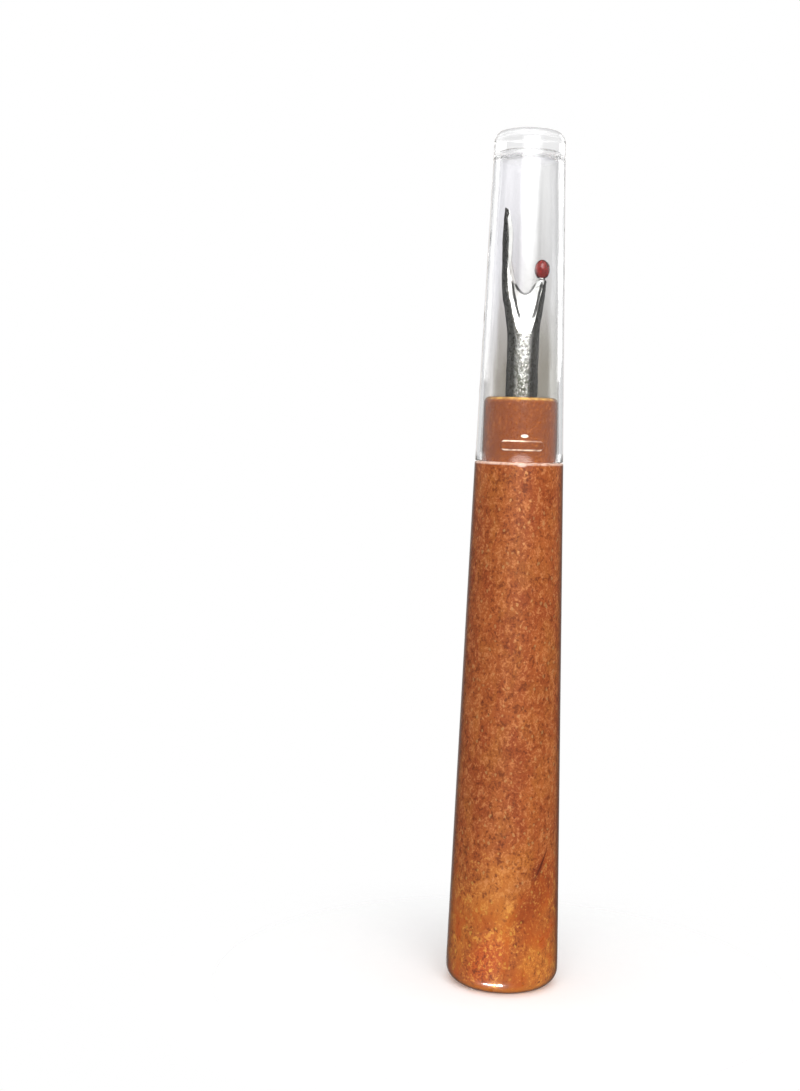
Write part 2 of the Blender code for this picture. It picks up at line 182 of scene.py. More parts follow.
# ------------------------------------------------------------------ node helper
class Nodes:
    """Short ways to write a node tree. Every method returns an output socket."""

    def __init__(self, tree):
        self.tree = tree
        self.nodes = tree.nodes
        self.links = tree.links

    def put(self, socket, value):
        if isinstance(value, bpy.types.NodeSocket):
            self.links.new(value, socket)
        elif isinstance(value, (tuple, list)) and len(value) == 3 and socket.type == 'RGBA':
            socket.default_value = (*value, 1.0)
        else:
            socket.default_value = value

    def math(self, op, a, b=0.0, c=None, clamp=False):
        n = self.nodes.new("ShaderNodeMath")
        n.operation = op
        n.use_clamp = clamp
        self.put(n.inputs[0], a)
        self.put(n.inputs[1], b)
        if c is not None:
            self.put(n.inputs[2], c)
        return n.outputs[0]

    def vmath(self, op, a, b=None, scale=None):
        n = self.nodes.new("ShaderNodeVectorMath")
        n.operation = op
        self.put(n.inputs[0], a)
        if b is not None:
            self.put(n.inputs[1], b)
        if scale is not None:
            self.put(n.inputs["Scale"], scale)
        return n.outputs["Value"] if op in ('LENGTH', 'DOT_PRODUCT', 'DISTANCE') else n.outputs[0]

    def step(self, value, lo, hi, to_lo=0.0, to_hi=1.0):
        n = self.nodes.new("ShaderNodeMapRange")
        n.interpolation_type = 'SMOOTHSTEP'
        self.put(n.inputs["Value"], value)
        self.put(n.inputs["From Min"], lo)
        self.put(n.inputs["From Max"], hi)
        self.put(n.inputs["To Min"], to_lo)
        self.put(n.inputs["To Max"], to_hi)
        return n.outputs["Result"]

    def remap(self, value, lo, hi, to_lo=0.0, to_hi=1.0):
        n = self.nodes.new("ShaderNodeMapRange")
        n.clamp = True
        self.put(n.inputs["Value"], value)
        self.put(n.inputs["From Min"], lo)
        self.put(n.inputs["From Max"], hi)
        self.put(n.inputs["To Min"], to_lo)
        self.put(n.inputs["To Max"], to_hi)
        return n.outputs["Result"]

    def noise(self, vector, scale, detail=2.0, rough=0.5, distortion=0.0, colour=False):
        n = self.nodes.new("ShaderNodeTexNoise")
        n.noise_dimensions = '3D'
        self.put(n.inputs["Vector"], vector)
        self.put(n.inputs["Scale"], scale)
        self.put(n.inputs["Detail"], detail)
        self.put(n.inputs["Roughness"], rough)
        self.put(n.inputs["Distortion"], distortion)
        return n.outputs["Color" if colour else 0]

    def cells(self, vector, scale, feature='F1', out="Distance", randomness=1.0):
        n = self.nodes.new("ShaderNodeTexVoronoi")
        n.feature = feature
        self.put(n.inputs["Vector"], vector)
        self.put(n.inputs["Scale"], scale)
        self.put(n.inputs["Randomness"], randomness)
        return n.outputs[out]

    def blend(self, factor, a, b, mode='MIX'):
        n = self.nodes.new("ShaderNodeMix")
        n.data_type = 'RGBA'
        n.blend_type = mode
        n.clamp_factor = True
        self.put(n.inputs[0], factor)
        self.put(n.inputs[6], a)
        self.put(n.inputs[7], b)
        return n.outputs[2]

    def stretch(self, vector, scale):
        n = self.nodes.new("ShaderNodeMapping")
        self.put(n.inputs["Vector"], vector)
        n.inputs["Scale"].default_value = scale
        return n.outputs[0]

    def shift(self, vector, offset):
        return self.vmath('ADD', vector, offset)

    def split(self, vector):
        n = self.nodes.new("ShaderNodeSeparateXYZ")
        self.put(n.inputs[0], vector)
        return n.outputs[0], n.outputs[1], n.outputs[2]

    def join(self, x, y, z):
        n = self.nodes.new("ShaderNodeCombineXYZ")
        for i, v in enumerate((x, y, z)):
            self.put(n.inputs[i], v)
        return n.outputs[0]

    def bump(self, height, strength, distance, normal=None):
        n = self.nodes.new("ShaderNodeBump")
        self.put(n.inputs["Height"], height)
        self.put(n.inputs["Strength"], strength)
        self.put(n.inputs["Distance"], distance)
        if normal is not None:
            self.put(n.inputs["Normal"], normal)
        return n.outputs[0]

    def facing(self, normal=None):
        n = self.nodes.new("ShaderNodeLayerWeight")
        n.inputs["Blend"].default_value = 0.5
        if normal is not None:
            self.put(n.inputs["Normal"], normal)
        return n.outputs["Facing"]

    def attribute(self, name):
        n = self.nodes.new("ShaderNodeAttribute")
        n.attribute_name = name
        return n.outputs["Fac"]

    def millimetres(self):
        """The point on the piece, in millimetres, in the piece's own space."""
        n = self.nodes.new("ShaderNodeTexCoord")
        return self.vmath('SCALE', n.outputs["Object"], scale=1000.0)


def new_material(name, colour, rough, metal=0.0):
    mat = bpy.data.materials.new(name)
    mat.use_nodes = True
    mat.diffuse_color = (*colour, 1.0)
    bsdf = mat.node_tree.nodes["Principled BSDF"]
    bsdf.inputs["Base Color"].default_value = (*colour, 1.0)
    bsdf.inputs["Roughness"].default_value = rough
    bsdf.inputs["Metallic"].default_value = metal
    return mat, bsdf, Nodes(mat.node_tree)


def srgb(r, g, b):
    return tuple(((c / 255 + 0.055) / 1.055) ** 2.4 if c > 10 else c / 255 / 12.92
                 for c in (r, g, b))


# ------------------------------------------------------------------ materials
def pearl_plastic():
    """Moulded copper-orange plastic full of fine mica, with flow marks and an amber swirl at the butt."""
    mat, bsdf, n = new_material("handle_plastic", (0.42, 0.13, 0.045), 0.3)
    p = n.millimetres()
    x, y, z = n.split(p)

    # slow clouds, drawn out along the handle
    warp = n.noise(n.stretch(p, (0.16, 0.16, 0.10)), 1.0, 2.0, 0.5, colour=True)
    warped = n.vmath('ADD', p, n.vmath('SCALE', n.vmath('SUBTRACT', warp, (0.5, 0.5, 0.5)), scale=9.0))
    slow = n.noise(n.stretch(warped, (0.30, 0.30, 0.11)), 1.0, 3.0, 0.55)
    slow2 = n.noise(n.stretch(n.shift(warped, (31.0, 7.0, 3.0)), (0.34, 0.34, 0.14)), 1.0, 3.0, 0.55)
    mid = n.noise(n.stretch(n.shift(warped, (5.0, 11.0, 9.0)), (1.0, 1.0, 0.7)), 1.0, 2.0, 0.6)

    copper = srgb(169, 91, 46)
    red = srgb(151, 72, 36)
    gold = srgb(170, 103, 48)
    colour = n.blend(n.step(slow, 0.36, 0.66), copper, red)
    colour = n.blend(n.math('MULTIPLY', n.step(slow2, 0.42, 0.70), 0.60), colour, gold)
    colour = n.blend(n.math('MULTIPLY', n.step(mid, 0.50, 0.72), 0.45), colour, srgb(146, 74, 38))

    # grain: fine light and dark specks
    fine = n.noise(n.stretch(p, (1.0, 1.0, 0.8)), 1.0, 3.0, 0.76, 0.6)
    fine2 = n.noise(n.shift(p, (17.0, 3.0, 8.0)), 2.9, 2.0, 0.6)
    neck = n.step(z, SHOULDER_Z - 0.1, SHOULDER_Z + 0.2)
    grain_in = n.math('ADD', n.math('MULTIPLY', n.math('SUBTRACT', fine, 0.5), n.math(
        'SUBTRACT', 1.6, n.math('MULTIPLY', neck, 1.15))),
                      n.math('MULTIPLY', n.math('SUBTRACT', fine2, 0.5), n.math(
                          'ADD', 0.9, n.math('MULTIPLY', neck, 0.8))))

    # butt zone, where the melt swirled: smooth amber and orange-red streaks
    near_butt = n.step(n.math('ADD', z, n.math('MULTIPLY', n.math('SUBTRACT', slow2, 0.5), 26.0)),
                       24.0, 9.0)
    sw_warp = n.noise(n.stretch(p, (0.13, 0.13, 0.09)), 1.0, 1.0, 0.5, colour=True)
    swirl_p = n.vmath('ADD', p, n.vmath('SCALE', n.vmath('SUBTRACT', sw_warp, (0.5, 0.5, 0.5)), scale=16.0))
    # streaks lean to the right as they rise
    diag = n.math('ADD', n.math('MULTIPLY', x, 0.80), n.math('MULTIPLY', z, -0.52))
    along = n.math('ADD', n.math('MULTIPLY', x, 0.52), n.math('MULTIPLY', z, 0.80))
    lean = n.join(n.math('MULTIPLY', diag, 0.22), n.math('MULTIPLY', y, 0.16), n.math('MULTIPLY', along, 0.09))
    lean = n.vmath('ADD', lean, n.vmath('SCALE', n.vmath('SUBTRACT', sw_warp, (0.5, 0.5, 0.5)), scale=1.7))
    streak = n.noise(lean, 1.0, 2.0, 0.5)
    streak2 = n.noise(n.shift(lean, (4.0, 9.0, 2.0)), 1.3, 2.0, 0.5)
    amber = srgb(190, 114, 48)
    fire = srgb(178, 80, 30)
    brown = srgb(138, 60, 28)
    swirl = n.blend(n.step(streak, 0.40, 0.64), srgb(172, 94, 44), amber)
    swirl = n.blend(n.math('MULTIPLY', n.step(streak2, 0.46, 0.70), 0.75), swirl, fire)

    def spot(cx, cz, rx, rz, tilt, soft):
        """1 inside an oval patch on the front, 0 outside; its outline is uneven."""
        c, s = math.cos(math.radians(tilt)), math.sin(math.radians(tilt))
        dx = n.math('SUBTRACT', x, cx)
        dz = n.math('SUBTRACT', z, cz)
        u = n.math('MULTIPLY', n.math('ADD', n.math('MULTIPLY', dx, c), n.math('MULTIPLY', dz, s)), 1.0 / rx)
        v = n.math('MULTIPLY', n.math('SUBTRACT', n.math('MULTIPLY', dz, c), n.math('MULTIPLY', dx, s)), 1.0 / rz)
        d = n.math('SQRT', n.math('ADD', n.math('MULTIPLY', u, u), n.math('MULTIPLY', v, v)))
        d = n.math('ADD', d, n.math('MULTIPLY', n.math('SUBTRACT', mid, 0.5), 0.7))
        front = n.step(y, 1.0, -2.0)
        return n.math('MULTIPLY', n.step(d, 1.0 + soft, 1.0 - soft), front)

    def put(base, mask, strength, tint):
        return n.blend(n.math('MULTIPLY', mask, strength), base, tint)

    butt = n.blend(n.math('MULTIPLY', near_butt, 0.85), colour, swirl)
    butt = put(butt, spot(-1.6, 17.5, 2.4, 6.5, -38.0, 0.60), 0.55, srgb(196, 122, 54))
    butt = put(butt, spot(-2.6, 6.0, 2.1, 5.2, -24.0, 0.60), 0.75, srgb(190, 82, 28))
    butt = put(butt, spot(-0.4, 12.0, 1.5, 4.2, -12.0, 0.60), 0.4, srgb(196, 124, 50))
    butt = put(butt, spot(3.6, 14.0, 1.7, 4.2, -30.0, 0.60), 0.7, brown)
    butt = put(butt, spot(3.0, 10.5, 1.3, 3.0, -10.0, 0.60), 0.45, srgb(160, 74, 32))
    butt = put(butt, spot(4.4, 19.0, 0.75, 1.7, -20.0, 0.5), 0.8, srgb(120, 46, 24))

    # weld line: a thin dark crease that curves down towards the butt
    cx_line = n.math('ADD', 4.05, n.math('MULTIPLY', n.math('POWER', n.math('MAXIMUM', n.math(
        'SUBTRACT', z, 18.2), 0.0), 0.75), 0.62))
    dline = n.math('ABSOLUTE', n.math('SUBTRACT', x, cx_line))
    in_span = n.math('MULTIPLY', n.step(z, 17.4, 19.0), n.step(z, 23.2, 20.8))
    in_span = n.math('MULTIPLY', in_span, n.step(y, 1.0, -2.0))
    crease = n.math('MULTIPLY', n.step(dline, 0.22, 0.06), in_span)

    # the mica grain is drowned in the clear swirls
    clear_zone = n.math('MULTIPLY', near_butt, n.step(streak2, 0.42, 0.60))
    grain_amount = n.math('SUBTRACT', 1.0, n.math('MULTIPLY', clear_zone, 0.50))
    # painted shade: the neck, which sits under the cap, is painted browner
    butt = n.blend(n.math('MULTIPLY', neck, 0.88), butt, srgb(138, 74, 34))
    grain = n.math('MULTIPLY', grain_in, grain_amount)
    grain = n.math('MULTIPLY', grain, n.math('SUBTRACT', 1.10, n.math('MULTIPLY', neck, 0.42)))
    speck_tone = n.blend(near_butt, srgb(214, 140, 96), srgb(232, 166, 84))
    butt = n.blend(n.math('MULTIPLY', n.step(grain, 0.02, 0.34), 0.72), butt, speck_tone)
    butt = n.blend(n.math('MULTIPLY', n.step(grain, -0.02, -0.34), 0.80), butt, srgb(112, 52, 26))
    butt = put(butt, crease, 0.85, srgb(88, 32, 18))

    # single mica flakes
    flake_p = n.vmath('ADD', n.stretch(p, (1.0, 1.0, 0.75)), n.vmath('SCALE', n.vmath(
        'SUBTRACT', n.noise(p, 1.4, 1.0, 0.5, colour=True), (0.5, 0.5, 0.5)), scale=0.5))
    flake_d = n.cells(flake_p, 1.35)
    flake_c = n.cells(flake_p, 1.35, out="Color")
    fr, fg, fb = n.split(flake_c)
    flake = n.math('MULTIPLY', n.step(flake_d, 0.34, 0.16), n.step(fr, 0.58, 0.86))
    flake = n.math('MULTIPLY', n.math('MULTIPLY', flake, grain_amount), n.math('SUBTRACT', 1.0, n.math('MULTIPLY', neck, 0.7)))
    butt = n.blend(n.math('MULTIPLY', flake, 0.70), butt, n.blend(near_butt, srgb(232, 172, 126), srgb(244, 190, 98)))
    fleck_p = n.shift(flake_p, (9.0, 4.0, 6.0))
    fleck_d = n.cells(fleck_p, 1.5)
    fleck_c = n.cells(fleck_p, 1.5, out="Color")
    gr, gg, gb = n.split(fleck_c)
    fleck = n.math('MULTIPLY', n.step(fleck_d, 0.36, 0.18), n.step(gg, 0.60, 0.85))
    fleck = n.math('MULTIPLY', n.math('MULTIPLY', fleck, grain_amount), n.math('SUBTRACT', 1.0, n.math('MULTIPLY', neck, 0.5)))
    butt = n.blend(n.math('MULTIPLY', fleck, 0.65), butt, srgb(104, 46, 24))

    # rims, painted light: a golden glow painted on the butt's edge, as if light shone through its thin skin, and a
    # near-white highlight painted along the neck's top edge
    butt_rim_glow = n.math('MULTIPLY', n.step(z, 2.2, 0.5), n.step(mid, 0.36, 0.62, 0.45, 1.0))
    butt = put(butt, butt_rim_glow, 0.70, srgb(214, 136, 48))
    neck_rim_highlight = n.math('MULTIPLY', n.step(z, NECK_TOP_Z - 0.55, NECK_TOP_Z - 0.20), n.step(fine, 0.42, 0.58, 0.35, 1.0))
    from_axis = n.math('SQRT', n.math('ADD', n.math('MULTIPLY', x, x), n.math('MULTIPLY', y, y)))
    neck_rim_highlight = n.math('MULTIPLY', neck_rim_highlight, n.step(from_axis, NECK_TOP_R - NECK_EDGE - 0.25, NECK_TOP_R - NECK_EDGE + 0.20))
    butt = put(butt, neck_rim_highlight, 0.95, srgb(255, 226, 190))

    # painted highlights: pale lines painted along the catch bar's top and bottom edges on the front; the top one fades
    # on its right half
    bar_x = n.math('MAXIMUM', n.math('SUBTRACT', n.math('ABSOLUTE', x), CATCH_W / 2 - CATCH_H / 2), 0.0)
    bar_d = n.math('SQRT', n.math('ADD', n.math('MULTIPLY', bar_x, bar_x), n.math('POWER', n.math(
        'ABSOLUTE', n.math('SUBTRACT', z, CATCH_Z)), 2.0)))
    bar_edge_highlight = n.math('SUBTRACT', 1.0, n.step(n.math('ABSOLUTE', n.math('SUBTRACT', bar_d, CATCH_H / 2 - 0.04)), 0.07, 0.15))
    bar_edge_highlight = n.math('MULTIPLY', bar_edge_highlight, n.math('MAXIMUM', n.step(z, CATCH_Z + 0.2, CATCH_Z - 0.2), n.step(x, 1.2, -0.4, 0.25, 1.0)))
    bar_edge_highlight = n.math('MULTIPLY', bar_edge_highlight, n.math('MULTIPLY', n.step(y, -4.0, -5.0), n.step(fine, 0.40, 0.56, 0.35, 1.0)))
    bar_edge_highlight = n.math('MULTIPLY', bar_edge_highlight, n.step(n.math('ABSOLUTE', n.math('SUBTRACT', z, CATCH_Z)), 0.48, 0.60))
    # painted glint: a small pale spot above the bar, on the front
    glint_x = n.math('DIVIDE', n.math('SUBTRACT', x, 0.3), 0.55)
    glint_z = n.math('DIVIDE', n.math('SUBTRACT', z, CATCH_Z + 1.42), 0.26)
    glint_above_bar = n.math('SQRT', n.math('ADD', n.math('MULTIPLY', glint_x, glint_x), n.math('MULTIPLY', glint_z, glint_z)))
    glint_above_bar = n.math('MULTIPLY', n.step(glint_above_bar, 1.15, 0.75), n.step(y, -4.0, -5.0))
    bar_edge_highlight = n.math('MAXIMUM', bar_edge_highlight, glint_above_bar)
    # painted highlight: a pale line painted along the shoulder's edge, with a brighter painted glint at its front
    # centre
    shoulder_highlight = n.math('MULTIPLY', n.step(z, SHOULDER_Z - 0.40, SHOULDER_Z - 0.16), n.step(z, SHOULDER_Z + 0.12, SHOULDER_Z + 0.02))
    shoulder_highlight = n.math('MULTIPLY', shoulder_highlight, n.step(mid, 0.30, 0.62, 0.30, 0.95))
    glint_x = n.math('DIVIDE', x, 0.85)
    glint_z = n.math('DIVIDE', n.math('SUBTRACT', z, SHOULDER_Z - 0.22), 0.36)
    shoulder_glint = n.math('SQRT', n.math('ADD', n.math('MULTIPLY', glint_x, glint_x), n.math('MULTIPLY', glint_z, glint_z)))
    shoulder_glint = n.math('MULTIPLY', n.step(shoulder_glint, 1.2, 0.5), n.step(y, -4.0, -5.0))
    shoulder_highlight = n.math('MAXIMUM', shoulder_highlight, n.math('MULTIPLY', shoulder_glint, n.step(z, SHOULDER_Z + 0.12, SHOULDER_Z + 0.02)))

    # painted shade: darker brown where the side turns away from view
    face = n.facing()
    limb_shade = n.step(face, 0.50, 0.90)
    butt = n.blend(n.math('MULTIPLY', limb_shade, 0.80), butt, srgb(70, 30, 12), 'MIX')
    # painted shade: the neck is painted darker still; the rest only takes a warmer tint
    butt = n.vmath('MULTIPLY', butt, n.blend(neck, (0.98, 0.918, 0.70), (0.68, 0.56, 0.22)))
    # painted shade: the left side a little darker, the right a little lighter
    butt = n.vmath('SCALE', butt, scale=n.math('ADD', 1.0, n.math('MULTIPLY', x, 0.009)))
    # painted highlights on the shoulder's edge and round the catch bar
    butt = put(butt, shoulder_highlight, 0.75, srgb(244, 214, 196))
    butt = put(butt, bar_edge_highlight, 0.95, srgb(255, 238, 218))
    n.put(bsdf.inputs["Base Color"], butt)

    # mica flakes tilt the light; the lacquer-smooth skin lies over them
    metal = n.math('MULTIPLY', n.step(grain, 0.0, 0.5), 0.35)
    metal = n.math('MAXIMUM', metal, n.math('MULTIPLY', flake, 0.6))
    n.put(bsdf.inputs["Metallic"], metal)
    rough = n.math('ADD', 0.40, n.math('MULTIPLY', n.math('SUBTRACT', fine, 0.5), 0.25))
    rough = n.math('SUBTRACT', rough, n.math('MULTIPLY', clear_zone, 0.10))
    n.put(bsdf.inputs["Roughness"], rough)
    height = n.math('ADD', n.math('MULTIPLY', fine, 0.6), n.math('MULTIPLY', fine2, 0.4))
    height = n.math('SUBTRACT', height, n.math('MULTIPLY', crease, 1.2))
    n.put(bsdf.inputs["Normal"], n.bump(height, 0.35, 0.00016))
    peel = n.math('ADD', n.noise(p, 0.55, 2.0, 0.5), n.math('MULTIPLY', n.noise(p, 2.6, 1.0), 0.18))
    peel = n.math('SUBTRACT', peel, n.math('MULTIPLY', crease, 0.8))
    coat_normal = n.bump(peel, 0.30, 0.00020)
    n.put(bsdf.inputs["Coat Normal"], coat_normal)
    n.put(bsdf.inputs["Coat Weight"], n.math('MULTIPLY', n.step(z, 4.5, 2.5, 0.25, 0.9), n.math(
        'SUBTRACT', 1.0, n.math('MULTIPLY', neck, 0.7))))
    n.put(bsdf.inputs["Coat Roughness"], n.math('ADD', 0.05, n.math('MULTIPLY', n.step(mid, 0.35, 0.7), 0.07)))
    bsdf.inputs["Coat IOR"].default_value = 1.5
    n.put(bsdf.inputs["Specular IOR Level"], n.math('SUBTRACT', 0.28, n.math('MULTIPLY', neck, 0.20)))
    return mat


def polished_steel():
    """Bright steel: drawn and tumbled on the shank, ground on the fork's faces, with painted shade along its unground
    sides.
    """
    mat, bsdf, n = new_material("blade_steel", (0.60, 0.60, 0.57), 0.2, 1.0)
    p = n.millimetres()
    x, y, z = n.split(p)
    ground = n.attribute("ground")
    edge = n.attribute("line")
    # painted shade: a near-black line at the foot of the hollow's wall, an arch that opens upwards
    lx = n.math('SUBTRACT', x, 0.22)
    arch = n.math('SUBTRACT', n.math('MULTIPLY', lx, lx), n.math('MULTIPLY', n.math('SUBTRACT', z, 100.9), 0.7225))
    away = n.math('DIVIDE', n.math('ABSOLUTE', arch), n.math('SQRT', n.math(
        'ADD', n.math('MULTIPLY', n.math('MULTIPLY', lx, lx), 4.0), 0.522)))
    line = n.math('MULTIPLY', n.step(away, 0.27, 0.15), n.math('MULTIPLY', n.step(z, 101.7, 102.5), n.step(z, 108.3, 107.2)))
    # painted shade: a near-black arc round the bottom of the U
    t = n.math('MAXIMUM', n.math('SUBTRACT', 1.0, n.math('DIVIDE', n.math('SUBTRACT', z, THROAT_Z), THROAT_DEEP)), 0.0)
    bowl = n.math('SUBTRACT', n.math('ADD', n.math('POWER', n.math('DIVIDE', x, THROAT_HALF), 2.0),
                                     n.math('POWER', t, 1.7)), 1.0)
    steep = n.math('SQRT', n.math('ADD', n.math('POWER', n.math('MULTIPLY', x, 2.0 / THROAT_HALF ** 2), 2.0),
                                  n.math('POWER', n.math('MULTIPLY', n.math('POWER', t, 0.7), 1.7 / THROAT_DEEP), 2.0)))
    arc_line = n.math('MULTIPLY', n.step(n.math('DIVIDE', bowl, steep), 0.38, 0.26), n.step(z, 107.7, 107.0))
    arc_line = n.math('MULTIPLY', arc_line, n.step(z, 105.2, 105.4))
    # painted shade: the cutting edge is painted near-black as well
    line = n.math('MAXIMUM', n.math('MULTIPLY', line, ground), n.math('MULTIPLY', edge, 0.9))
    line = n.math('MAXIMUM', line, n.math('MULTIPLY', arc_line, ground))
    drawn = n.math('SUBTRACT', 1.0, ground)
    clouds = n.noise(n.stretch(p, (0.9, 0.9, 0.35)), 1.0, 3.0, 0.6)
    lines = n.noise(n.stretch(p, (5.0, 5.0, 0.6)), 1.0, 3.0, 0.65)
    pits = n.noise(n.stretch(p, (1.0, 1.0, 0.7)), 2.6, 3.0, 0.65)
    # grinding marks run across the fork, square to the cutting edge
    marks = n.noise(n.stretch(p, (0.8, 1.2, 9.0)), 1.0, 2.0, 0.6)
    tone = n.blend(n.step(clouds, 0.36, 0.66), srgb(214, 213, 208), srgb(230, 230, 227))
    tone = n.blend(n.math('MULTIPLY', n.step(lines, 0.56, 0.74), 0.35), tone, srgb(120, 116, 104))
    tone = n.blend(n.math('MULTIPLY', n.math('MULTIPLY', n.step(pits, 0.47, 0.58), drawn), 0.85),
                   tone, srgb(104, 100, 86))
    # oil and oxide left close to the neck
    stain = n.math('MULTIPLY', n.step(z, 98.5, 92.5), n.step(clouds, 0.10, 0.45))
    stain = n.math('MULTIPLY', stain, n.math('SUBTRACT', 1.0, n.math('MULTIPLY', n.step(pits, 0.52, 0.44), 0.75)))
    tone = n.blend(n.math('MULTIPLY', stain, 0.88), tone, srgb(92, 94, 82))
    bright = n.blend(n.step(marks, 0.30, 0.70), srgb(240, 240, 238), srgb(228, 228, 226))
    tone = n.blend(ground, tone, bright)
    # painted shade: the drawn skin is painted darker where it turns away from view, over all of it from the throat up,
    # and darker still higher up
    face = n.facing()
    turned_off = n.step(n.math('ADD', face, n.math('MULTIPLY', n.math('SUBTRACT', clouds, 0.5), 0.10)), 0.05, 0.20)
    scale = n.math('MAXIMUM', turned_off, n.step(z, 104.5, 108.0))
    scale = n.math('MULTIPLY', scale, drawn)
    side_shade = n.blend(n.step(lines, 0.40, 0.66), srgb(38, 36, 30), srgb(66, 62, 52))
    side_shade = n.vmath('SCALE', side_shade, scale=n.step(z, 101.5, 106.0, 0.48, 0.10))
    tone = n.blend(n.math('MULTIPLY', scale, 0.95), tone, side_shade)
    # painted shade: the near-black lines
    tone = n.blend(n.math('MULTIPLY', line, 0.96), tone, srgb(27, 26, 24))
    n.put(bsdf.inputs["Base Color"], tone)
    rough = n.math('ADD', 0.17, n.math('MULTIPLY', n.step(lines, 0.35, 0.75), 0.10))
    rough = n.math('ADD', rough, n.math('MULTIPLY', n.math('MULTIPLY', n.step(pits, 0.45, 0.7), drawn), 0.14))
    rough = n.math('ADD', rough, n.math('MULTIPLY', stain, 0.10))
    rough = n.math('ADD', rough, n.math('MULTIPLY', ground, 0.12))
    rough = n.math('ADD', rough, n.math('MULTIPLY', line, 0.20))
    n.put(bsdf.inputs["Roughness"], rough)
    height = n.math('ADD', n.math('MULTIPLY', pits, n.math('MULTIPLY', drawn, n.math('SUBTRACT', 1.0, n.math(
        'MULTIPLY', scale, 0.8)))),
                    n.math('MULTIPLY', marks, n.math('MULTIPLY', ground, 0.16)))
    height = n.math('ADD', height, n.math('MULTIPLY', lines, n.math('SUBTRACT', 0.18, n.math('MULTIPLY', scale, 0.15))))
    n.put(bsdf.inputs["Normal"], n.bump(height, 0.75, 0.00018))
    return mat


def red_bead():
    """Glossy deep red bead, a little cloudy, with the faint swirl of its moulding."""
    mat, bsdf, n = new_material("ball_plastic", (0.30, 0.016, 0.010), 0.12)
    p = n.millimetres()
    cloud = n.noise(p, 0.9, 3.0, 0.6, 0.6)
    face = n.facing()
    colour = n.blend(n.step(cloud, 0.35, 0.68), srgb(104, 12, 7), srgb(120, 20, 12))
    # painted shade: darker red towards the bead's outline
    colour = n.blend(n.math('MULTIPLY', n.step(face, 0.15, 0.75), 0.85), colour, srgb(52, 8, 6))
    n.put(bsdf.inputs["Base Color"], colour)
    n.put(bsdf.inputs["Roughness"], n.math('ADD', 0.16, n.math('MULTIPLY', n.noise(p, 3.0, 2.0), 0.12)))
    n.put(bsdf.inputs["Normal"], n.bump(n.noise(p, 2.2, 2.0, 0.5), 0.25, 0.00010))
    n.put(bsdf.inputs["Coat Normal"], n.bump(n.noise(p, 1.1, 1.0, 0.5), 0.12, 0.00010))
    bsdf.inputs["Subsurface Weight"].default_value = 0.12
    bsdf.inputs["Subsurface Radius"].default_value = (1.0, 0.2, 0.1)
    bsdf.inputs["Subsurface Scale"].default_value = 0.0006
    bsdf.inputs["Specular IOR Level"].default_value = 0.10
    bsdf.inputs["Coat Weight"].default_value = 0.45
    bsdf.inputs["Coat Roughness"].default_value = 0.03
    return mat


